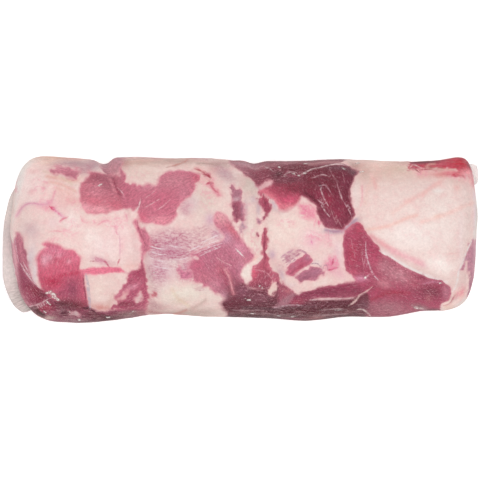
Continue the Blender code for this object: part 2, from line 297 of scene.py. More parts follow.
class MeatFace:
    """One side of the meat as it is painted: lean or fat at each point, and both colours."""

    def __init__(self, places, flesh, fat):
        self.places = places
        self.lean = np.full(len(places), -PAINT_REACH)
        self.soft = np.full(len(places), 1.0)
        self.ragged = np.full(len(places), 0.7)
        self.veil, self.blush, self.fleck = np.zeros((3, len(places)))
        self.flesh = np.tile(to_linear(flesh), (len(places), 1))
        self.fat = np.tile(to_linear(fat), (len(places), 1))
        self.fibres = places.copy()
        self.line_side = np.zeros((2, len(places)))
        self.line_width = np.full((2, len(places)), NO_LINE)
        self.line_colour = np.tile(to_linear("E8D8DC"), (2, len(places), 1))

    def around_curve(self, curve, reach):
        """Which places lie within reach of the box around a curve."""
        return np.all((self.places > curve.min(axis=0) - reach)
                      & (self.places < curve.max(axis=0) + reach), axis=1)

    def depth_in(self, outline):
        """Depth in mm inside an outline, negative outside it."""
        curve = rounded(outline, closed=True)
        near = self.around_curve(curve, PAINT_REACH)
        places = self.places[near]
        nearest = np.full(len(places), PAINT_REACH)
        inside = np.zeros(len(places), bool)
        for start, stop in zip(curve, np.roll(curve, -1, axis=0)):
            nearest = np.minimum(nearest, to_run(places, start, stop)[0])
            crosses = (start[1] > places[:, 1]) != (stop[1] > places[:, 1])
            rise = stop[1] - start[1]
            if rise != 0:
                meets = start[0] + (places[:, 1] - start[1]) * (stop[0] - start[0]) / rise
                inside ^= crosses & (places[:, 0] < meets)
        depth = np.full(len(self.places), -PAINT_REACH)
        depth[near] = np.where(inside, nearest, -nearest)
        return depth

    def stain(self, layer, colour, share):
        """Colours the fat, the flesh or both, by the share given for each place."""
        if layer != "flesh":
            self.fat += (to_linear(colour) - self.fat) * share[:, None]
        if layer != "fat":
            self.flesh += (to_linear(colour) - self.flesh) * share[:, None]

    def lay(self, layer, colour, depth, soft, ragged):
        """Gives a patch its colour, and says how soft and how ragged its border is."""
        same_kind = self.lean > 0 if layer == "flesh" else self.lean < 0
        share = np.where(same_kind, smooth_step(*NARROW_BLEND, depth), smooth_step(*WIDE_BLEND, depth))
        self.stain(layer, colour, share)
        self.soft += (soft - self.soft) * share
        self.ragged += (ragged - self.ragged) * share

    def lay_lean(self, colour, outline, grain=0, soft=1.0, ragged=0.8):
        """A muscle that shows inside the outline, its fibres turned by grain degrees."""
        depth = self.depth_in(outline)
        self.lay("flesh", colour, depth, soft, ragged)
        inside = depth > -FIBRE_OVERLAP
        self.fibres[inside] = turned_by(self.places[inside], grain)
        self.lean = np.maximum(self.lean, depth)

    def lay_fat(self, colour, outline, soft=0.9, ragged=0.7):
        """Fat that shows inside the outline, over what was laid before."""
        depth = self.depth_in(outline)
        self.lay("fat", colour, depth, soft, ragged)
        self.lean = np.minimum(self.lean, -depth)

    def tint(self, layer, colour, strength, *spot):
        """A soft spot of colour, fading out past its reach."""
        self.stain(layer, colour, strength * np.exp(-from_spot(self.places, *spot)**2))

    def tint_along(self, layer, colour, strength, reach, path):
        """A soft stripe of colour that follows a path."""
        away = to_path(self.places, rounded(path, closed=False))
        self.stain(layer, colour, strength * np.exp(-(away / reach)**2))

    def patch(self, name, amount, *spot):
        """Raises the veil (lean through thin fat), the blush (blood in fat) or the flecks in lean, which
        also get painted glints.
        """
        raised = amount * np.exp(-from_spot(self.places, *spot)**4)
        setattr(self, name, np.maximum(getattr(self, name), raised))

    def draw_line(self, layer, colour, half_width, path):
        """A sinew (layer 0) or a vein or dark edge (layer 1) that thins out to both ends."""
        curve = rounded(path, closed=False)
        near = self.around_curve(curve, LINE_REACH)
        places = self.places[near]
        nearest = np.full(len(places), np.inf)
        side = np.zeros(len(places))
        where = np.zeros(len(places))
        steps = len(curve) - 1
        for i, (start, stop) in enumerate(zip(curve, curve[1:])):
            away, along = to_run(places, start, stop)
            run = stop - start
            offset = places - start
            signed = (run[0] * offset[:, 1] - run[1] * offset[:, 0]) / max(np.hypot(*run), 1e-9)
            closer = away < nearest
            nearest[closer] = away[closer]
            side[closer] = signed[closer]
            where[closer] = (i + along[closer]) / steps
        taper = np.clip(4 * where * (1 - where), 0.0, 1.0)**0.5
        picked = nearest < LINE_REACH
        here = np.flatnonzero(near)[picked]
        shown = 1 - smooth_step(LINE_FADE, LINE_REACH, nearest[picked])
        width = (LINE_TIP_SHARE + (1 - LINE_TIP_SHARE) * taper[picked]) * half_width
        width = width * shown + FADED_LINE * (1 - shown)
        wider = width > self.line_width[layer, here]
        here = here[wider]
        self.line_side[layer, here] = side[picked][wider]
        self.line_width[layer, here] = width[wider]
        self.line_colour[layer, here] = to_linear(colour)


meat_mesh, meat_corners = divided_box("pork_shoulder", MEAT_ALONG, MEAT_ACROSS, MEAT_UP)
meat = BagForm(meat_corners)
around = MeatFace(meat.wrap, flesh="A2606E", fat="EACDC7")

# Left third: the cut face of the fat cap, the two muscles at its front corner and the round one
around.lay_lean("9A4660", [
    (-200, 8), (-198, 12), (-196, 14.4), (-194.2, 13.8), (-192.6, 10), (-191.2, 3), (-190.2, 2),
    (-189.4, 4.6), (-188, 5.4), (-186, 3), (-183.6, -6), (-182, -10), (-181.4, -17), (-180.4, -24),
    (-178.4, -32), (-175.5, -38.5), (-171, -42), (-158, -46), (-140, -50), (-131, -54), (-128, -60),
    (-118, -62.5), (-108, -60.5), (-96, -59), (-84, -60), (-79, -67), (-75, -77), (-87, -86), (-82, -96),
    (-98, -104), (-118, -97), (-140, -106), (-165, -101), (-184, -104), (-196, -90), (-212, -60),
    (-214, -20)], grain=-65, ragged=0.45)
around.lay_lean("CF6078", [
    (-168, -3.5), (-166, -2), (-161, -2.5), (-156, -4), (-153, -5.5), (-151, -7.5), (-146, -8.5),
    (-142, -9), (-139.5, -12), (-137, -14.5), (-136, -17), (-136.5, -22), (-137, -26), (-135.4, -28),
    (-133.8, -30), (-133.2, -36), (-132.2, -42), (-130.9, -50), (-130.2, -57), (-142, -60), (-155, -57),
    (-165, -50), (-171, -41), (-172, -36), (-173, -30), (-173.5, -22), (-174, -15), (-171, -10.5),
    (-168, -8), (-166, -6.5), (-168, -5)], grain=70, soft=1.2, ragged=0.3)
around.lay_fat("BE969A", [
    (-146.5, -65), (-143.5, -63.4), (-139.5, -63.6), (-136.5, -65), (-139, -67), (-142.5, -67)], ragged=1.0)
around.lay_lean("E4788F", [
    (-137, -26.5), (-133, -26), (-128, -24.5), (-121, -24), (-117, -23.5), (-112, -23), (-109, -24),
    (-104, -24), (-101, -25.5), (-98.5, -27.5), (-99, -28.8), (-104, -28.5), (-110, -28.8), (-118, -29.8),
    (-126, -30), (-133, -30.5), (-136, -30.5)], soft=0.9, ragged=0.4)
around.lay_lean("B5546E", [
    (-96, -30), (-95, -28), (-91, -27), (-87, -26.5), (-85, -24), (-85, -20), (-83, -20), (-82.5, -24),
    (-81.5, -27), (-81.6, -30), (-80.4, -34), (-79.4, -38), (-78.6, -45), (-77.8, -50), (-78.4, -55),
    (-81, -61), (-94, -61), (-104, -61), (-110, -61), (-108.5, -57), (-106, -55.5), (-105.5, -54),
    (-107, -53), (-107, -50), (-105, -46), (-103, -43), (-100, -40), (-97, -36.5), (-96.5, -33)], grain=30)
around.lay_fat("DDAAA8", [
    (-104, -51), (-101, -48), (-98, -45), (-95.5, -44.5), (-96, -47), (-98, -50), (-100, -52), (-103, -53),
    (-104.5, -52.5)], soft=1.5, ragged=0.8)
around.lay_fat("DCBDBA", [
    (-89, -54), (-89.5, -50), (-87, -47), (-84.5, -45.5), (-84, -48), (-84, -51), (-83, -52), (-85, -54),
    (-88, -55)], soft=1.3, ragged=0.8)
around.lay_lean("C67A8A", [
    (-164, 58.5), (-160, 61), (-157, 63), (-154, 63), (-149, 62), (-146, 61.5), (-140, 60.5),
    (-137.5, 58.5), (-137.5, 57), (-139, 54), (-141, 51.5), (-144, 52), (-147, 53), (-151, 55),
    (-157, 55.5), (-160, 56.5)], grain=-15, soft=2.0, ragged=0.8)
around.lay_lean("B07E88", [
    (-119, 66), (-117, 60), (-112, 58), (-107, 58), (-103, 60), (-101, 65), (-98, 70.5), (-70, 71.5),
    (-45, 72), (-28, 70.5), (-17, 79), (-10, 89), (-26, 101), (-52, 94), (-72, 105), (-96, 98), (-112, 105),
    (-125, 94), (-118, 80)], soft=2.2, ragged=0.8)
around.lay_lean("C87080", [
    (-127, 57.8), (-130, 57.5), (-129.5, 55), (-132, 52), (-134, 50), (-136.5, 48), (-137, 45),
    (-137.3, 40), (-137, 35), (-136.5, 31), (-135, 27), (-132, 23.5), (-129, 22), (-124, 21.8),
    (-118, 21.5), (-113, 22.3), (-110, 23.8), (-106, 24), (-102, 25), (-99, 27), (-96, 29), (-97, 40),
    (-99, 50), (-104, 57), (-112, 60), (-119, 57.5)], grain=20, soft=1.4, ragged=0.4)
around.lay_lean("C66E82", [
    (-104, 60), (-102, 63), (-100.5, 60), (-98, 57), (-97.5, 55), (-97.8, 52), (-99, 50.5), (-97, 49.5),
    (-95.5, 50.5), (-95, 49), (-94, 47.5), (-92, 48.5), (-89.5, 48), (-88, 46), (-86, 47.5), (-84.5, 46.5),
    (-83, 46), (-81, 48), (-78, 48.5), (-75, 46), (-72, 46), (-71, 47), (-70, 50), (-68, 54), (-66, 56),
    (-63, 58), (-60, 59), (-55, 59.3), (-50, 59.2), (-45, 58.8), (-40, 58), (-36, 56.5), (-34, 55),
    (-33.3, 52.5), (-34.5, 50), (-37, 48), (-39.5, 47.5), (-37.5, 45.5), (-37.5, 44), (-38, 42),
    (-40, 39.5), (-42, 37), (-43, 35.5), (-46, 34), (-50, 31), (-52, 28), (-54, 25), (-54, 20), (-55.5, 18),
    (-57, 16), (-60, 14), (-63, 12.5), (-68, 12.2), (-72, 12.8), (-74, 14.5), (-77, 14), (-79, 13.5),
    (-81, 14), (-84, 15), (-86, 17), (-87, 20), (-88, 24), (-87.5, 26), (-89, 27.5), (-90, 26), (-92, 26),
    (-94, 28.5), (-99, 27), (-102, 40)], grain=30, soft=1.2, ragged=0.35)

# Middle: the seam strip, thin fat with lean showing through, the large muscle and its islands
around.lay_lean("CC788C", [
    (-91, 15), (-90.5, 18), (-88.5, 18), (-86, 12), (-84.5, 10), (-82, 9.5), (-79.5, 6), (-78, 3), (-77, 0),
    (-76.5, -3), (-76, -5), (-77, -8), (-79, -10.5), (-81, -12), (-82.5, -16), (-83, -22), (-81.5, -28),
    (-84.5, -26), (-85, -20), (-84.6, -12), (-84.6, -5), (-85.6, 0), (-87, 4), (-88.4, 9)],
    grain=60, soft=1.2, ragged=0.4)
around.lay_lean("C87880", [
    (-76, -46), (-73, -45), (-70.5, -45.5), (-72, -48), (-74, -50), (-76, -51)], soft=1.2)
around.lay_lean("BE6C82", [
    (-21.5, 13), (-21.6, 17), (-21, 22), (-19, 23.6), (-16, 23.4), (-13, 22), (-10.5, 20), (-8.5, 17.5),
    (-7, 14.5), (-5.2, 11.2), (-3, 7.8), (-0.8, 4.6), (1.4, 1.2), (3.6, -2), (5.8, -4.6), (7.8, -7),
    (9.2, -9), (11.6, -11.2), (13.4, -12.8), (13, -14), (11, -17), (9, -19.5), (6, -21), (4, -24), (2, -27),
    (1, -30), (2, -33), (4, -36), (6, -44), (0, -52), (-8, -54), (-12, -52), (-14, -50), (-16, -48),
    (-19, -46.5), (-23, -45), (-25, -42), (-28, -40.5), (-31, -40), (-32, -38), (-37, -37), (-40, -35),
    (-40.5, -32), (-41, -28), (-43, -26), (-44, -23), (-43, -20), (-41, -17.5), (-39, -16.5), (-36, -17),
    (-36, -15), (-40, -14), (-41, -12), (-38, -11), (-35, -11), (-34.5, -8.5), (-30, -7.5), (-27, -6.5),
    (-26, -4.4), (-21, -3), (-15.5, -1), (-13.4, 2), (-15.4, 6), (-19, 9.4)],
    grain=-58, soft=1.5, ragged=0.45)
around.lay_lean("C87890", [
    (-52, -24), (-48, -26), (-44, -25), (-41, -28), (-41, -34), (-44, -33), (-48, -34), (-51, -33),
    (-52, -30)], grain=20, soft=1.6, ragged=1.5)
around.lay_lean("C88A88", [
    (-38.5, 61.5), (-36, 61), (-33, 59), (-31, 57), (-28.5, 58), (-29.5, 59.5), (-33, 60.5)], soft=1.0)
around.lay_lean("B86070", [
    (-31, 54), (-29, 56), (-26, 56), (-24.5, 54), (-23.5, 51.5), (-24.5, 50.5), (-26, 52), (-28, 54)],
    soft=0.9)
around.lay_lean("D0808C", [
    (-28, 47), (-25.5, 49.5), (-23.5, 49), (-22, 46), (-20.5, 43), (-18.5, 40), (-17, 38), (-19, 38),
    (-22, 41), (-25, 44), (-26.5, 46.5)], soft=1.1)
around.lay_lean("A86E7E", [
    (-8.5, 44), (-7.5, 45), (-6.5, 47.5), (-5.5, 46), (-4, 44.5), (-3, 43), (0, 43.5), (2.5, 41.5),
    (2.2, 38), (1.6, 35), (2, 31), (-5.6, 31), (-5.4, 34), (-7, 36.5), (-6.6, 39), (-7.3, 42)],
    grain=70, ragged=0.6)
around.lay_lean("A05266", [
    (-7, 31), (-6.5, 33.5), (-4, 34), (0, 33), (2, 32), (4, 30), (4.5, 25), (4.3, 20), (4, 17), (2.5, 15.8),
    (0, 16.5), (-1, 14), (-3, 13.5), (-4.5, 15.5), (-5.5, 19), (-6, 22), (-5.5, 25), (-6.3, 28)],
    grain=75, ragged=0.6)
around.lay_lean("C09AA4", [(1, 14.5), (4, 14), (4.5, 9), (2.5, 7), (1, 9)], soft=1.6, ragged=1.6)

# Upper middle: the plum-coloured zone along the back edge and the bright lobe below it
around.lay_lean("98465A", [
    (-12, 80), (-9, 71), (-8.5, 67), (-5, 64), (-1, 61), (1, 60), (3, 57), (6, 55), (10, 53.5), (13, 51.5),
    (14, 50), (17, 46.5), (28, 45), (40, 44), (52, 45), (57, 50), (66, 58), (80, 64), (86, 66.5),
    (91, 69.5), (93, 79), (100, 90), (84, 102), (60, 95), (38, 107), (10, 98), (-4, 105), (-19, 95),
    (-15, 88)], grain=4, soft=1.2, ragged=0.35)
around.lay_lean("B24C62", [
    (16.5, 44), (18, 47), (28, 48), (40, 49), (56, 50), (57.6, 44), (57.4, 40.6), (55, 38), (52.5, 36),
    (51, 33), (49, 29.5), (46, 27.5), (43, 26.5), (41, 25), (38, 24.5), (35, 25.5), (33, 28), (31, 31.5),
    (29, 34), (26, 35.5), (23, 38), (19, 41)], grain=-50, soft=2.0, ragged=0.3)
around.lay_fat("DAA4A8", [
    (17, 47), (18, 50), (22, 51), (27, 51.5), (28, 49), (27, 47), (24, 46), (20, 46)], soft=1.2)
around.lay_lean("A44A60", [
    (16, 44), (16.2, 42), (16.8, 39.5), (17.4, 38), (17.4, 36), (18, 33), (18.3, 30), (20, 28), (20.5, 24),
    (20, 20), (19.5, 17.5), (21, 17), (22.5, 18), (23, 20), (23, 22), (24, 23.5), (25.5, 24.3), (27, 26),
    (27.3, 29), (26.5, 32), (25, 34.5), (23.5, 36.5), (21.5, 39), (20, 41), (20, 43.5), (18.5, 45.5)],
    grain=80, ragged=0.9)
around.lay_lean("8A3A4E", [(14.6, 37), (16, 37.5), (16.5, 36), (15.2, 35.5)])
around.lay_lean("9A4A5E", [(16.6, 34.5), (18, 35.5), (18.6, 33.5), (17, 32)])
around.lay_lean("B08090", [(15.5, 14), (15.5, 18), (18, 18.5), (18.5, 15)], soft=1.2)
around.lay_lean("8E4458", [(14.5, 5), (15.5, 6.5), (17, 4), (18, 2.3), (17, 1.8), (15.5, 3.5)], ragged=0.4)
around.lay_lean("B45468", [
    (20.5, 7), (20, 10), (21, 10.5), (23, 9), (23, 6), (22.5, 4.5), (24.5, 3.5), (25, 1), (24.5, -1),
    (23.5, -3), (23.5, -6), (22.5, -9), (22, -11), (24, -13), (25, -17), (25, -20), (26, -25), (28, -28),
    (30, -29.5), (33, -31), (34.5, -34), (34.5, -37), (36, -38.5), (36, -44), (20, -44), (8, -42), (9, -35),
    (10, -31), (10, -27), (11, -24), (12.5, -22), (15.5, -21), (17, -19), (19.5, -17), (20, -15),
    (18.5, -12.5), (19, -9), (18.5, -6), (19, -3), (19, 0), (20, 3.5)], grain=70, ragged=0.8)

# Front edge: dark muscle seen through the film, with the long strip lying on it
around.lay_lean("6A2838", [
    (-11, -66), (-13.5, -61), (-16, -57), (-16, -54), (-13, -50), (-8, -44), (-2, -38), (4, -38), (8, -40),
    (12, -42), (20, -42), (30, -40), (36, -40), (43, -43), (50, -48), (58, -52), (80, -52.5), (97, -50),
    (106, -46), (114, -46), (116, -58), (122, -70), (110, -83), (118, -95), (94, -104), (66, -95),
    (38, -107), (10, -99), (-6, -105), (-17, -90)], grain=4, soft=2.2, ragged=0.4)
around.lay_fat("E8CFC4", [
    (28.5, -36), (29.5, -38), (31.5, -38), (32, -40), (31.5, -44), (31, -47), (29.5, -46.5), (28, -47),
    (29, -48.5), (30.5, -49.5), (28, -49), (26, -48.5), (25, -45), (25.5, -43), (27, -41), (28, -39)],
    ragged=0.4)
around.lay_fat("EEDCD4", [
    (20, -15), (19.5, -17), (17, -19), (15.5, -21), (12.5, -22), (11, -24), (10, -27), (10, -31),
    (10.5, -34), (9.5, -36), (7.5, -37), (4.5, -36), (2.5, -33), (1.2, -30), (2.5, -26.5), (4.5, -23.5),
    (7, -21), (10, -19), (12.5, -16), (13.5, -14), (16, -11)], ragged=0.4)
around.lay_lean("A85468", [
    (36, -38), (40, -40), (44, -41.5), (47, -45), (46, -52), (40, -57), (34, -57), (33, -48), (33, -41)],
    grain=60)
around.lay_lean("943A54", [
    (44, -55), (48, -50), (52, -47), (56, -45), (60, -44), (63, -43), (67, -41), (72, -39.8), (78, -38.8),
    (83, -38.4), (88, -37.4), (93, -36.6), (97, -36), (100, -35), (108, -36), (113, -42), (106, -47.5),
    (101, -50), (95, -51.5), (88, -52), (80, -52), (72, -52.5), (64, -53.5), (54, -57), (46, -58)],
    grain=2, ragged=0.5)

# Right of the middle: two lean islands, the dark muscle with its sinews, and the big lean slab
around.lay_lean("B85C74", [
    (40, -28), (41, -26), (41, -24), (43, -21.5), (46, -20), (48, -18), (50, -16), (53, -15), (55, -13),
    (57, -12), (59, -13), (61, -15), (63, -17), (63.5, -18.5), (61, -21), (58, -23), (55, -25), (52, -27),
    (49, -29), (47, -31), (45, -32.3), (43, -32), (41, -30.5)], grain=38, ragged=0.4, soft=0.6)
around.lay_lean("AE6A7E", [
    (48, -33), (49, -31.5), (52, -29), (55, -27), (57, -26.5), (60, -24.5), (62, -23.5), (65, -24),
    (69, -24), (71, -26), (73, -28), (73.5, -29.5), (72.5, -31), (70, -31.5), (67, -33), (65, -35),
    (63, -35), (61, -34.5), (58, -35.5), (55, -36), (52, -37), (50, -35.5)], grain=30, ragged=0.5, soft=0.6)
around.lay_lean("7C2A40", [
    (56, 57), (60, 59.5), (66, 61.5), (72, 63.5), (78, 65), (85, 66), (90, 66), (94, 65), (98, 63.5),
    (101.5, 62), (103, 60.5), (101, 57.5), (99, 56), (98.5, 53), (97.5, 50), (96, 46), (95.5, 43), (96, 38),
    (96.5, 34), (97.5, 30), (99, 26), (99.5, 22), (98.5, 19.5), (97, 17.5), (95, 15), (93, 13), (91, 11),
    (89.5, 9), (87, 8.5), (84, 8.8), (81, 9), (78, 9.5), (75, 10), (73, 11.5), (70.6, 14), (69, 17),
    (67.8, 19.5), (66.6, 22), (66.4, 25), (66, 28), (64.2, 29.6), (62, 31.2), (59.8, 33), (57.8, 34.8),
    (56, 35.8), (54, 36.6), (52.6, 38.6), (52, 42), (51.6, 48)], grain=-60, soft=0.7, ragged=0.35)
around.lay_lean("A84660", [
    (88.5, -2), (89, 2), (89.5, 5), (91, 8), (94, 11), (97, 13.5), (100.5, 15.5), (103, 15), (105, 13),
    (106.5, 10), (108, 7.5), (110, 5), (111.5, 3), (113, 0.5), (116, -2.5), (119, -5.5), (121, -9),
    (123, -12), (125, -13.5), (128, -15), (132, -17.5), (136, -20), (139, -22.5), (142, -24.5),
    (146, -26.5), (150, -28.5), (154, -30), (158, -31.5), (161, -33.5), (164, -34.8), (168, -35.5),
    (172, -36), (175, -36.5), (176, -38), (178, -40), (181, -41), (183, -44), (183.8, -47), (183, -50),
    (181, -52.5), (178, -54), (174, -55), (173.2, -57), (173, -62), (178, -74), (166, -83), (171, -95),
    (149, -101), (130, -93), (112, -100), (106, -84), (108, -70), (112, -52), (108, -44), (102, -38),
    (99.5, -35.5), (98, -33.5), (96, -31), (93, -28.5), (90.5, -26.5), (91, -24), (90, -19), (89.3, -14),
    (89, -8)], grain=-24, ragged=0.3, soft=0.6)

# Top right: the red muscle end under the film, and the strip on the right-hand edge
around.lay_lean("BC2C46", [
    (145, 60.5), (148, 60), (151, 61.6), (156, 60.6), (163, 61.6), (168, 61), (175, 61.4), (181, 60.6),
    (186, 59.6), (182, 58), (176, 57.6), (181, 55.6), (188, 54), (193, 54.5), (201, 56), (204, 57),
    (206, 62), (206, 72), (204, 85), (190, 95), (175, 88), (160, 95), (150, 84), (147, 74), (146, 66)],
    grain=-8, soft=1.8, ragged=1.2)
around.lay_lean("C48898", [
    (202.5, 2), (206, 0), (208, -20), (206, -44), (200, -52), (197.5, -49), (196, -48.5), (197, -44),
    (198, -38), (198.5, -33), (198, -28), (196.5, -26.5), (196, -24), (196, -21), (195, -18), (194.5, -21),
    (194, -25), (192.5, -28), (191, -26.5), (189.5, -26), (191.5, -24), (193, -20), (194.5, -15),
    (196, -11), (198, -6), (200, -2), (201, 1)], grain=-75, soft=1.3, ragged=0.9)
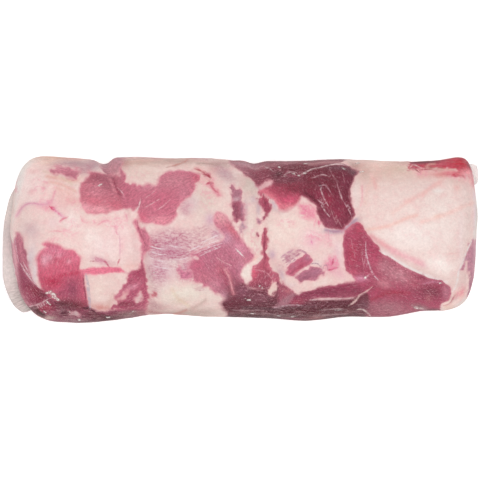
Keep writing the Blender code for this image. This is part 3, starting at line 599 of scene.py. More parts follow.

# Soft stains in the fat and in the flesh: colour, strength, centre, reach along and across, and turn in
# degrees. The greyer and browner stains down both long sides are partly the meat's own colour and partly
# painted shade and painted reflection of the film.
for layer, stains in {
    "fat": [
        # Left third
        ("F3D2D0", 0.8, -102, 4, 17, 22), ("F2D6D1", 0.6, -140, -2, 22, 14),
        ("F2D4CF", 0.8, -174, 38, 24, 28), ("F0D0C8", 0.7, -186, 60, 12, 10),
        ("F8DEDA", 0.9, -182, 48, 14, 15), ("E8BCBA", 0.5, -150, 30, 10, 8),
        ("D6A68C", 0.9, -157, 73, 20, 5), ("E2C0B0", 0.7, -163, 66, 9, 4),
        ("AE8C92", 0.9, -141, 65.5, 15, 4, -6), ("D2A8A8", 0.6, -158, 64, 8, 3, 10),
        ("CE988E", 0.8, -140, 70.5, 15, 2.4), ("C0949A", 0.8, -134, 59.6, 6, 3, 20),
        ("E2B0A4", 0.6, -152, 51.5, 13, 1.7, -6), ("E6ACA8", 0.7, -146, 35, 11, 5, -20),
        ("E9BAB0", 0.6, -138, 52, 4, 4), ("E8A4AE", 0.6, -168, 43.5, 2.4, 2),
        ("E9A6AE", 0.5, -178, 41, 3, 2.6), ("E8A8A8", 0.5, -175, 58, 6, 2.4),
        ("E8B0B0", 0.6, -165, 48, 6, 1.8, 12), ("C47886", 0.8, -193.6, 47, 1.3, 4, -14),
        ("D88A96", 0.7, -192.4, 42, 1.1, 2.2), ("E898A8", 0.6, -166, 28.5, 8, 4.5),
        ("E07C9A", 0.9, -163, 31.4, 2.4, 1.6), ("DC4474", 0.9, -160.3, 26.3, 2.0, 1.5, -20),
        ("E8A0AA", 0.6, -156, 7, 4, 1.1), ("F2DAD8", 0.8, -118, -6, 10, 9),
        ("EFC4BE", 0.6, -152, 41, 12, 4, -25), ("EFC2C0", 0.6, -124, 14, 10, 3.4, 10),
        ("F5E4E0", 0.6, -145, 16, 7, 8), ("EDBCC0", 0.6, -101, -6, 2, 10),
        ("EFC6C2", 0.5, -160, 0, 9, 3, 30), ("E6C2C6", 0.6, -160, 14, 6, 5), ("F6E8E2", 0.7, -128, 4, 5, 7),
        ("EDAEB4", 0.6, -134, 16.5, 2.4, 2.8), ("E8B0B2", 0.5, -169, 14, 3, 2),
        ("CFAEB2", 0.8, -178, 8, 7, 7, 35), ("D6C2C8", 0.9, -180, -18, 4, 14, -15),
        ("E0CCD0", 0.8, -175.5, -28, 3, 14, -15), ("E8A8B0", 0.6, -117, 15.5, 4, 1.5, 25),
        ("EBB0B8", 0.7, -106, 9, 1.6, 6, -20), ("E8A8AE", 0.6, -97, 21, 2, 3, -30),
        ("E8B0AA", 0.7, -92, -23.5, 7, 2.6), ("EED4CA", 0.6, -121, -43, 7, 8),
        ("D68E86", 0.9, -119, -59, 12, 3.4), ("D290A4", 0.9, -120.5, -17.6, 7, 2.6, -16),
        ("B08C94", 0.9, -125, 65, 7, 7), ("D9AEA6", 0.8, -110, -52, 3, 6, -30),
        # Middle
        ("E9CFC4", 0.8, -85, 58, 18, 7), ("CDA898", 0.8, -86, 67, 18, 3.4), ("B4847E", 0.8, -99, 66, 6, 5),
        ("BA988E", 0.9, -54, 68, 32, 4.4), ("E0C4BC", 0.6, -48, 62.5, 20, 2),
        ("DCC8BD", 0.8, -30, 33, 12, 16), ("D8BCC0", 0.8, -42, 30, 8, 7, 30),
        ("D6AEB4", 0.7, -47, 26, 5, 6, 30), ("EBB8B2", 0.7, -28, 52, 9, 9),
        ("E8B4B4", 0.6, -20, 40, 6, 5, -45), ("D9B4BC", 0.8, -60, -6, 22, 14),
        ("C08CA0", 0.7, -61, -11.5, 13, 4.4, -4), ("DAB8C2", 0.8, -68, -26, 13, 13),
        ("EADCD6", 0.9, -55, -20.5, 8, 3.8), ("DDAEBA", 0.8, -44, -26, 7, 9),
        ("EBDDD0", 0.9, -48, -46, 25, 9), ("DCC4B6", 0.8, -52, -53, 8, 3),
        ("C09C98", 0.8, -69, -58, 11, 4.4), ("AE988E", 0.9, -42, -63.4, 32, 4.8),
        ("D2A8B8", 0.9, -25, 17, 4.6, 5.6), ("D8B4C2", 0.7, -20, 4, 5, 5), ("CCB8AE", 0.8, 8, 48, 9, 12),
        ("E2CCC2", 0.6, 8, 14, 8, 12), ("C2A8B4", 0.8, 16.4, 28, 1.8, 7), ("C8AEB8", 0.7, 12, 35, 3, 3.4),
        ("DCA8AE", 0.7, 8.5, 30, 2.2, 1.5), ("C8ACB4", 0.7, 5.4, 26, 1.8, 9),
        ("C2A4AE", 0.7, 4, 10, 2.6, 4), ("B898A0", 0.65, -13, 57.5, 12, 6, -40),
        ("BFA2AC", 0.6, 15.5, 48, 2, 4, 40), ("D8AAA6", 0.7, -24, 61, 6, 3),
        ("B08E8A", 0.8, -16, 66, 12, 4),
        # Upper middle and the bright lobe
        ("BFA2B0", 0.8, 29.5, 30, 2.6, 5, 30), ("CBB2B2", 0.7, 33, 24, 6, 1.6, -20),
        ("EEDACF", 0.8, 12, -4, 7, 14), ("F0D9D0", 0.9, 40, 8, 18, 14), ("EDBCBC", 0.8, 60, 24, 11, 7, -38),
        ("E090A0", 0.8, 55, 26, 5, 1.4, -42), ("E498A6", 0.8, 61, 22, 5, 1.3, -44),
        ("E6A0AC", 0.7, 65, 26, 5, 1.2, -40), ("DE8298", 0.9, 68, 14.5, 1.7, 1.7),
        ("E89CAA", 0.7, 62, 20, 4, 3, -30), ("E688A8", 0.9, 62, -2.6, 1.8, 2.0),
        ("DE8AA0", 0.9, 79, -22, 7, 7), ("C83A68", 0.9, 80.4, -19.8, 1.3, 1.3),
        ("CC4A74", 0.9, 82, -24.6, 1.8, 0.9), ("CC4A74", 0.8, 78, -26.4, 1.8, 0.9),
        ("EEBCC6", 0.7, 62, 0, 9, 9), ("EAB6BC", 0.7, 76, 1, 5, 8), ("E6A8B6", 0.6, 86, -30, 6, 4, -30),
        ("E2A8B4", 0.9, 156, -21, 6, 2, -26), ("C8A2B4", 0.9, 28, -13.4, 2.8, 4),
        ("CDB8C4", 0.7, 36, -31, 2, 5, 20), ("E4BEC8", 0.6, 84, -10, 4, 10),
        ("EEBCB4", 0.9, 13, -16, 4, 2.4, 40), ("DCBCC0", 0.6, 44, -39.5, 5, 2),
        ("D8BEC2", 0.6, 66, -20, 4, 2, -20),
        # Dark muscle
        ("C0A8B4", 0.9, 84, 6.8, 10, 2.2), ("9C8496", 0.9, 98, 14, 6, 2.8, 45),
        ("EAD4D0", 0.8, 99, 40, 3, 16), ("A07672", 0.9, 100, 65, 7, 4.6, -20),
        # Fat slab
        ("DDBDB0", 0.9, 128, 59, 30, 11), ("C89E94", 0.7, 108, 60, 6, 9), ("BC908A", 0.7, 142, 66, 14, 3.4),
        ("CBB0A0", 0.7, 138, 60, 11, 3, -6), ("E8AEB0", 0.6, 105.5, 38, 1.4, 9, 3),
        ("E6B0A8", 0.6, 116, 49, 2.6, 9, 14), ("EED8D2", 0.6, 140, 32, 34, 12),
        ("F4E5E0", 0.9, 150, 4, 34, 14), ("FBF0EA", 0.9, 172, -21, 13, 8, -24),
        ("F1E0DA", 0.7, 175, 22, 20, 20), ("F0C0BA", 0.6, 157, 14.5, 3, 1.6),
        ("F0D0BE", 0.6, 170, 19.5, 4, 1.6, 10), ("F0C4C0", 0.6, 182, 24, 4, 1.6, 20),
        ("DDD0CE", 0.6, 164, 44, 4, 3), ("F2ECE8", 0.6, 171, 41.4, 5, 1.6, 10),
        ("E8B4AC", 0.6, 187, 45, 3, 3), ("EDD6D4", 0.7, 190, 0, 2.4, 26),
        ("E0A8A2", 0.8, 155.5, 56.5, 3, 4), ("E2B2AC", 0.7, 172, 54.5, 5, 2.6),
        ("D8BEB4", 0.7, 187, 51, 8, 3), ("E8B8B4", 0.7, 183.5, -12, 4, 1), ("EACCC6", 0.8, 194, -40, 5, 14),
        ("EDA8A4", 0.9, 191.5, -46, 3, 5, -30), ("DCB8AA", 0.8, 180, -59, 6, 2.5),
        ("E2C4CC", 0.8, 202.5, 22, 2, 14), ("DFBAC6", 0.8, 203, 38, 2, 3),
        # Top right
        ("DC8484", 0.95, 180, 57, 18, 3.4, 4), ("E8A8A6", 0.8, 156, 59, 6, 5),
        ("EBB4B2", 0.8, 195, 52, 8, 3.6), ("DC7884", 0.8, 201.6, 50, 2.6, 7, 8),
    ],
    "flesh": [
        # Left third
        ("D298A4", 0.9, -194.6, -6, 3.2, 15), ("8A3450", 0.7, -189.4, -31, 2.2, 7, 10),
        ("8A1032", 0.95, -177, -48, 13, 9, -35), ("C26C80", 0.9, -184.6, -49, 5, 4, -40),
        ("C47080", 0.6, -194.4, 1, 1.6, 3.4), ("6E2438", 0.8, -170, -49, 5, 4),
        ("A4324C", 0.9, -168, -60.6, 9, 3), ("420A1C", 0.9, -151.5, -57, 8, 5),
        ("C8906C", 0.8, -175.5, -67.4, 4, 1.7, -30), ("D0B4AA", 0.8, -164, -68.6, 6, 1.7),
        ("D09AA8", 0.7, -153, -64, 2.2, 1.2), ("5E2C3A", 0.8, -151, -66, 8, 3.4),
        ("9A7078", 0.9, -138, -71, 15, 2.4), ("DC8098", 0.8, -158, -9, 13, 4.5, -15),
        ("E8AABA", 0.6, -162.5, -15, 2.6, 3), ("ECB4C2", 0.7, -167, -17, 3.4, 5.4),
        ("E8A8B6", 0.6, -146.5, -18.5, 2.4, 2), ("E8A4B4", 0.5, -155, -13.5, 2.4, 1.5),
        ("E27A92", 0.7, -140.5, -16, 3, 6), ("B62E4E", 0.9, -160, -36, 9, 5.2, -4),
        ("96465E", 0.95, -143.5, -43, 8.5, 12), ("A24460", 0.8, -154, -46, 7, 4),
        ("621226", 0.9, -142, -57.4, 13, 5.4), ("6A2A38", 0.8, -125, -65.5, 7, 3),
        ("5E2430", 0.95, -114, -69, 22, 4.6, 4), ("94706F", 0.9, -94, -65, 11, 3, 6),
        ("A46066", 0.8, -82, -65, 6, 2, 5), ("D0607A", 0.8, -105, -26, 5, 2),
        ("A03C58", 0.8, -86, -29, 5, 4), ("882E44", 0.9, -97, -56.5, 10, 2.8),
        ("C87086", 0.7, -103, -47, 4, 3, 40), ("D890A2", 0.8, -92, -41.5, 7, 2, 22),
        ("D08C98", 0.7, -160, 60.5, 6, 2.2), ("CE8090", 0.7, -151, 57.5, 7, 3),
        ("B86478", 0.8, -146, 55.5, 4, 3), ("9C4C5E", 0.8, -121, 53, 11, 5),
        ("9C4C60", 0.6, -112, 52, 4, 6), ("D0687A", 0.6, -125, 33, 9, 4),
        ("EAA0AA", 0.9, -122, 25.4, 15, 3.4, 2), ("CC6478", 0.7, -106, 29, 7, 4),
        ("D68C9A", 0.5, -122, 40, 10, 6), ("E8A4AE", 0.8, -133, 27.5, 5, 4, -40),
        ("C88A94", 0.9, -109, 63, 8, 8), ("98586A", 0.7, -115.5, 60, 2, 4),
        ("A45668", 0.6, -112, 47, 12, 9, -40),
        # Middle
        ("D4AEB6", 0.8, -3, 34.4, 4, 1.6, 10), ("CC5E74", 0.8, -37, 53, 4, 5),
        ("C65E78", 0.5, -67, 33, 9, 8), ("E4909E", 0.9, -67, 16.2, 11, 3.6), ("E07088", 0.7, -84, 19, 4, 5),
        ("CC8290", 0.8, -57, 50, 14, 7), ("CC8494", 0.6, -47, 39, 6, 5, 40),
        ("D08898", 0.6, -77, 45, 9, 3, 10), ("E9A8AE", 0.9, -16, 18.6, 7, 5.4, -30),
        ("D06A78", 0.8, -6, 7.5, 8, 3.0, -50), ("D07E8C", 0.5, -17, 14, 3, 5),
        ("C4607A", 0.7, -36, -22, 6, 6), ("E096AA", 0.8, 0, -8, 7, 5, -40), ("D48494", 0.7, 4, -18, 5, 6),
        ("D09CAE", 0.8, -12, 1, 6, 5), ("C88498", 0.6, 1, -24, 3, 7), ("86404F", 0.9, -5, -44, 10, 6),
        ("C48C9A", 0.8, -14, -48, 4.5, 4, -30), ("924A5C", 0.9, -5, -38, 6, 8),
        ("BC5A6C", 0.6, -16, -26, 5, 7, 20), ("CC7484", 0.5, -30, -32, 8, 5),
        ("D08C9A", 0.7, -22, -39, 5, 4, -30), ("A8404E", 0.8, -25, 52.5, 1.6, 2.2),
        ("C05068", 0.7, -25.5, 49, 1.8, 1.5), ("8A4A60", 0.7, -8, 43, 1.8, 4),
        ("7E3A50", 0.8, -4, 25, 2, 6, 15), ("B08494", 0.7, 3, 26, 2, 8),
        # Upper middle and the bright lobe
        ("8E4656", 0.8, 13, 56, 12, 5, -20), ("7A3042", 0.8, 42, 49.5, 18, 4),
        ("8C3A4C", 0.7, 25, 52, 7, 4), ("A86E7A", 0.8, 3, 61, 10, 3, -30),
        ("641C2A", 0.85, 54, 61.6, 36, 6.4), ("B88890", 0.9, 4, 66.4, 15, 3, -3),
        ("A06A70", 0.7, 66, 68.4, 22, 1.8, 2), ("66303C", 0.8, 32, 55, 6, 5),
        ("4E2028", 0.9, 34, 57.4, 3, 2), ("663844", 0.7, 44, 51, 9, 3),
        ("E0808E", 0.9, 41, 28.6, 10, 3.6, 4), ("D05472", 0.9, 42, 34, 10, 3.6),
        ("842A3E", 0.9, 45, 45, 13, 5.4), ("7A2A3C", 0.7, 50, 43, 6, 3), ("9A3E58", 0.7, 24, 32, 3, 6),
        ("B0405A", 0.9, 20.5, 37.6, 3, 4),
        # Front edge
        ("DC6078", 0.9, 12, -28, 3, 7), ("A0465C", 0.9, 22, -35, 6, 7, 20),
        ("B85E74", 0.7, 31, -33, 3, 5, 20), ("D08090", 0.6, 15, -22, 4, 2, 30),
        ("5C2230", 0.8, 24, -56, 10, 5), ("8A4E5E", 0.7, 18, -51, 9, 4), ("883E50", 0.9, 16, -41, 9, 3.4),
        ("86485A", 0.8, 3, -43, 8, 3, -20), ("521220", 0.9, 26, -66, 42, 5.6),
        ("8A3C50", 0.8, 48, -69.5, 14, 1.6), ("C87880", 0.7, 41, -45, 5, 1.6, -20),
        ("84445A", 0.6, 2, -46, 6, 5), ("84304A", 0.8, 76, -45, 20, 3.4, 3), ("A04A60", 0.8, 92, -48, 9, 3),
        ("B04A60", 0.8, 50, -55, 7, 2), ("8E4658", 0.8, 60, -56, 6, 2), ("520A18", 0.92, 87, -63.4, 23, 5),
        ("581C2A", 0.9, 78, -56, 24, 2.4), ("A46A6C", 0.8, 66, -68, 8, 1.6, 4),
        ("5E3040", 0.8, 108, -57, 5, 4), ("B48490", 0.8, 40, -53.6, 5, 2.4, 40),
        # Islands
        ("AE4A62", 0.9, 52, -24, 7, 2.8, 38), ("B4748A", 0.8, 59, -15.4, 4, 2.6, 38),
        ("C47C90", 0.6, 46, -23, 3, 2, 38), ("8E4C62", 0.7, 57, -33.6, 7, 2.2, 20),
        ("B87890", 0.6, 66, -28, 5, 1.6, 25),
        # Dark muscle
        ("6C2036", 0.8, 92, 50, 9, 13), ("6C182C", 0.8, 79, 47, 9, 12, -20), ("843048", 0.7, 92, 50, 5, 6),
        ("6A2436", 0.7, 61, 53, 5, 4), ("8A2E46", 0.7, 86, 27, 6, 8), ("94445A", 0.8, 77, 15, 8, 5),
        ("9A2C46", 0.7, 76, 33, 5, 6), ("962C48", 0.6, 84, 22, 5, 4), ("9A3650", 0.5, 69, 38, 4, 4),
        ("581626", 0.7, 97, 44, 3, 9), ("6E4A52", 0.8, 98, 60.6, 5, 3), ("6E4450", 0.7, 84, 62, 10, 2.4, 4),
        ("7A2438", 0.8, 62, 45, 4, 6), ("761C30", 0.7, 62, 52, 6, 5), ("7E4650", 0.7, 91, 67, 8, 3),
        # Big lean slab
        ("BC4A62", 0.8, 103, 10, 5, 5), ("C4687C", 0.8, 95, 10, 5, 2.2, 45),
        ("983A50", 0.8, 104, -9, 3.4, 11), ("C85C74", 0.8, 97, -29, 4, 4),
        ("D488A2", 0.9, 104, -33.4, 6, 2.6), ("AC3852", 0.8, 97, -12, 5, 12),
        ("B04260", 0.8, 116, -16, 5, 12, 20), ("C88490", 0.9, 136, -30, 15, 6.4, -22),
        ("B87280", 0.8, 125, -22, 6, 6, -22), ("C8848E", 0.7, 124, -38, 7, 4, -15),
        ("A84458", 0.8, 130, -46, 12, 3, -10), ("B85C6E", 0.7, 150, -38, 6, 4, -20),
        ("863A4C", 0.9, 165, -45, 13, 5.6, -6), ("B4697C", 0.8, 165, -37.6, 9, 1.6, -8),
        ("8A3A50", 0.8, 158, -34, 6, 1.4, -12), ("B86A72", 0.7, 162.5, -51, 2.5, 3),
        ("C47C8E", 0.9, 179, -47, 4, 6), ("AC6E7A", 0.9, 128, -58.6, 18, 7),
        ("8E7072", 0.8, 156, -57.6, 7, 2.4, -15), ("6E3040", 0.8, 166, -60.6, 8, 1.2),
        # Top right
        ("7E2438", 0.9, 160, 67.4, 16, 2, 1), ("98405A", 0.7, 151, 64.6, 5, 2, -30),
        ("B8344A", 0.8, 160, 62, 3, 2), ("BE0A2C", 0.95, 189, 67, 10, 3.6),
        ("D4606E", 0.9, 176, 58.2, 12, 2.4, 3), ("F0A4A8", 0.95, 196, 57, 8, 4),
        ("C04A5C", 0.8, 174, 65.4, 8, 1.8, 6), ("8E2436", 0.8, 199, 63.5, 4, 1.6, -45),
        # Right edge
        ("9C5C74", 0.9, 198.6, -38, 1.4, 9, -8), ("A0607A", 0.8, 202.6, -14, 2.2, 9, -4),
        ("DCB4BE", 0.7, 195, -19, 1.6, 3),
    ],
}.items():
    for colour, strength, *spot in stains:
        around.tint(layer, colour, strength, *spot)

# Long soft stains: veins deep in the fat, creases under the film, bands of deeper or paler muscle, by
# colour, strength, reach to each side in mm and path. The grey-brown ones down the long sides also carry
# painted shade and painted reflection of the film.
for layer, stripes in {
    "fat": [
        ("DDA2B4", 0.7, 1.7, [(-190, 20), (-187, 26), (-184, 29), (-181, 30.5), (-175, 30.5), (-170, 29.5),
                              (-165, 30.5)]),
        ("E498AA", 0.7, 1.0, [(-161, 32), (-159.5, 37), (-158.3, 41)]),
        ("DF9CB6", 0.8, 1.4, [(-160, 26), (-157, 23.5), (-154, 21), (-151, 18.5)]),
        ("DE8898", 0.8, 0.9, [(-154, 15.5), (-151, 17.5), (-148.5, 18.5)]),
        ("E6B0A2", 0.7, 1.6, [(-165, 53.5), (-156, 52), (-148, 50), (-141, 50.5)]),
        ("E6B0A2", 0.7, 1.3, [(-162, 48.6), (-154, 47), (-147, 44), (-141, 41)]),
        ("E6B0A6", 0.6, 1.2, [(-158, 43.6), (-151, 41.6), (-145, 38)]),
        ("DFC4B0", 0.6, 1.2, [(-168, 58), (-160, 56), (-152, 52.6), (-144, 47)]),
        ("B07C7A", 0.9, 2.0, [(-82, -63), (-72, -64), (-60, -64.6), (-48, -65.6)]),
        ("BE9E94", 0.6, 1.5, [(-44, -61), (-36, -57), (-29, -52)]),
        ("B88076", 0.9, 1.2, [(-56, -64), (-50, -62), (-46, -60.5)]),
        ("E0CCB2", 0.6, 1.4, [(-58, -42), (-54, -49), (-49, -53), (-44, -57)]),
        ("B88880", 0.7, 1.2, [(-56, 63.5), (-50, 66), (-46, 68), (-44, 70)]),
        ("A88078", 0.4, 1.2, [(-36, 66), (-27, 66.2), (-19, 65.4)]),
        ("E2A6A0", 0.7, 1.6, [(-38, 61), (-33, 59), (-30, 57)]),
        ("E29AA4", 0.8, 1.8, [(-26, 47), (-23, 43.5), (-19.5, 40), (-16.5, 37.5)]),
        ("E8A6AE", 0.8, 1.6, [(52, 27), (56, 21), (61, 17)]),
        ("EDB6AA", 0.6, 1.7, [(110, 8.5), (118, 9.4), (128, 11.4), (137, 14.6), (144, 17.6), (152, 19.6)]),
        ("F0C4BC", 0.5, 1.8, [(131, 21.6), (138, 26.4), (146, 31.6)]),
        ("EEBEB6", 0.5, 1.9, [(157, 14.6), (164, 16.4), (173, 19.4), (182, 23), (192, 28), (202, 32)]),
        ("EDB8B4", 0.5, 1.8, [(158, 37), (163, 42.6), (169, 48), (176, 52)]),
        ("A28CA0", 0.9, 1.4, [(74, 8.4), (82, 7), (90, 9.2), (93.4, 11.8), (96.6, 14.6), (100, 18)]),
        ("E8A0AA", 0.6, 0.8, [(105, 46), (105.6, 40), (105, 34), (104, 29)]),
        ("EAB0AE", 0.6, 1.2, [(113, 56), (115.6, 50), (117, 43)]),
        ("EDB6B0", 0.5, 2.2, [(143, 31.4), (151, 34.5), (157, 38), (163, 43), (172, 48)]),
        ("EFC2B8", 0.3, 1.4, [(168, 18.5), (175, 21.4), (183, 25), (190, 29)]),
        ("E6BEB4", 0.5, 1.6, [(108, 30), (110, 42), (114, 53), (119, 61)]),
        ("E8A6AA", 0.9, 2.4, [(113, 3), (120, -2), (127, -6.6), (134, -10)]),
        ("EBB2B8", 0.95, 2.8, [(130, -9.6), (140, -13.6), (149, -17.2), (156, -20)]),
        ("F4E8E6", 0.9, 1.6, [(120, -10), (126, -13.6), (133, -17.5), (146, -25.6), (158, -31.6),
                              (170, -36), (178, -38)]),
        ("DCA49C", 0.7, 1.0, [(176, -57), (181, -55.5), (185, -52), (188, -48)]),
    ],
    "flesh": [
        ("E2939E", 0.95, 2.6, [(-196, 12), (-193.6, -2), (-193, -12), (-192.6, -22)]),
        ("C87A8A", 0.9, 2.6, [(-187.6, 5), (-186.6, -8), (-185, -18), (-182.4, -28), (-176.8, -37)]),
        ("9C3E58", 0.75, 3.0, [(-190.6, -24), (-189, -40), (-185, -48), (-177, -53)]),
        ("B87482", 0.7, 1.6, [(-191, -42), (-188, -49), (-184, -55), (-177, -58), (-170, -57)]),
        ("5A2A30", 0.9, 1.5, [(-185, -60.5), (-179, -60), (-176, -62), (-173, -64.6), (-170, -67)]),
        ("BC3C58", 0.8, 1.6, [(-154, -30.5), (-146, -29), (-138, -28.6)]),
        ("983C52", 0.8, 1.4, [(-109, 55), (-107, 49), (-105, 45), (-102.5, 40)]),
        ("D88A96", 0.7, 1.4, [(-111, 54), (-109, 47), (-106.5, 42)]),
        ("D8828E", 0.8, 1.3, [(-12, -25), (-9, -30), (-7.6, -35), (-6.6, -41), (-5, -47)]),
        ("A44058", 0.8, 1.0, [(-14.6, -27), (-12.4, -32), (-11, -38)]),
        ("DE7888", 0.8, 2.6, [(19, 44.4), (23, 41), (27, 37.4), (31, 33), (35, 29)]),
        ("A8727E", 0.8, 2.0, [(32, -59), (36, -55.6), (41, -51.5), (46, -48)]),
        ("5E3A44", 0.8, 1.1, [(2, -59.4), (16, -60), (34, -60.4), (52, -59), (66, -58)]),
        ("8A5C60", 0.6, 1.0, [(64, -66), (76, -65), (88, -64.6), (98, -63)]),
        ("885A60", 0.6, 1.0, [(-8, -64), (8, -63.6), (24, -66), (40, -66.6)]),
        ("B07C80", 0.8, 1.2, [(60, 64.6), (74, 66.6), (86, 67.6)]),
        ("A87078", 0.7, 1.2, [(22, 63), (34, 66), (48, 67)]),
        ("944840", 0.95, 1.5, [(161, 62), (167, 61), (172, 60.6)]),
        ("DCB8A8", 0.8, 1.1, [(172, 60.6), (179, 60.2), (186, 60)]),
        ("D69C92", 0.7, 1.0, [(161, 63.6), (164, 65.4), (168, 66)]),
        ("A23048", 0.7, 1.4, [(113, -52), (124, -47), (134, -45), (146, -46)]),
    ],
    "both": [
        ("C48E84", 0.9, 1.6, [(162, 61.4), (168, 61), (174, 60.8)]),
    ],
}.items():
    for colour, strength, reach, path in stripes:
        around.tint_along(layer, colour, strength, reach, path)

# Lean seen through thin fat, blood that has soaked into fat, and flecks of fat in lean, which also carry
# painted glints: amount, centre, reach along and across, and turn in degrees
for name, patches in {
    "veil": [
        (1.0, -72, -6, 9, 12), (1.0, -56, -12.5, 21, 6, 3), (0.75, -70, -27, 10, 13),
        (0.85, -46, -26, 10, 9), (0.9, -56, 0, 22, 9), (0.45, -72, -43, 5, 7), (0.75, -38, -4, 14, 9, 10),
        (0.55, -34, 6, 12, 6, 20), (0.55, -54, -20, 12, 7), (0.5, -47, 27, 5, 7, 30),
        (0.6, -20, 5, 7, 5, -30), (0.55, -34, -42, 7, 3, -20), (0.35, -14, 58, 11, 5, -35),
        (0.4, 4.5, 22, 2.4, 12), (0.45, 84, 6.6, 9, 2.4), (0.45, 45, -13, 9, 5, 30),
        (0.35, 36, -26, 5, 8, 20), (0.45, -74, -58, 7, 6), (0.5, -133, 60, 8, 5),
        (0.4, -150, 64, 12, 3, -5), (0.3, -112, -20, 9, 3),
    ],
    "blush": [
        (0.8, 57, 24, 9, 8, -30), (0.7, 67, 14, 4, 5), (0.9, 80, -21, 7, 8), (0.55, 64, 2, 8, 7),
        (0.45, -166, 30, 12, 8), (0.4, -168, 46, 16, 8), (0.45, -27, 50, 9, 9), (0.4, 76, 0, 5, 8),
        (0.45, -106, 14, 12, 8), (0.4, 10, 6, 6, 6), (0.35, -140, 34, 12, 12), (0.5, 158, 57, 8, 4),
        (0.6, 188, 54, 12, 4), (0.5, 190, -46, 5, 9, -20), (0.45, -192, 45, 3, 8),
        (0.45, -118, 16, 14, 4, 10), (0.4, -146, 10, 12, 9), (0.4, -160, -1, 9, 4, 20),
        (0.4, -28, 36, 9, 12), (0.35, -86, 56, 12, 4), (0.4, 12, -4, 6, 12), (0.5, 40, 14, 10, 5),
    ],
    "fleck": [
        (1.2, 138, -28, 20, 11, -22), (0.6, 160, -44, 17, 9, -8), (0.7, -176, -50, 18, 14),
        (0.7, 60, -60, 70, 10), (0.6, -14, -16, 24, 20, -50), (0.6, -90, -44, 16, 18),
        (0.6, -158, -12, 14, 10), (0.7, 34, 58, 42, 9), (0.4, -118, 46, 18, 14), (0.8, 24, -42, 24, 14),
        (0.4, 104, -20, 12, 26), (0.15, 80, 40, 14, 26), (0.4, -146, -54, 14, 8),
    ],
}.items():
    for amount, *spot in patches:
        around.patch(name, amount, *spot)
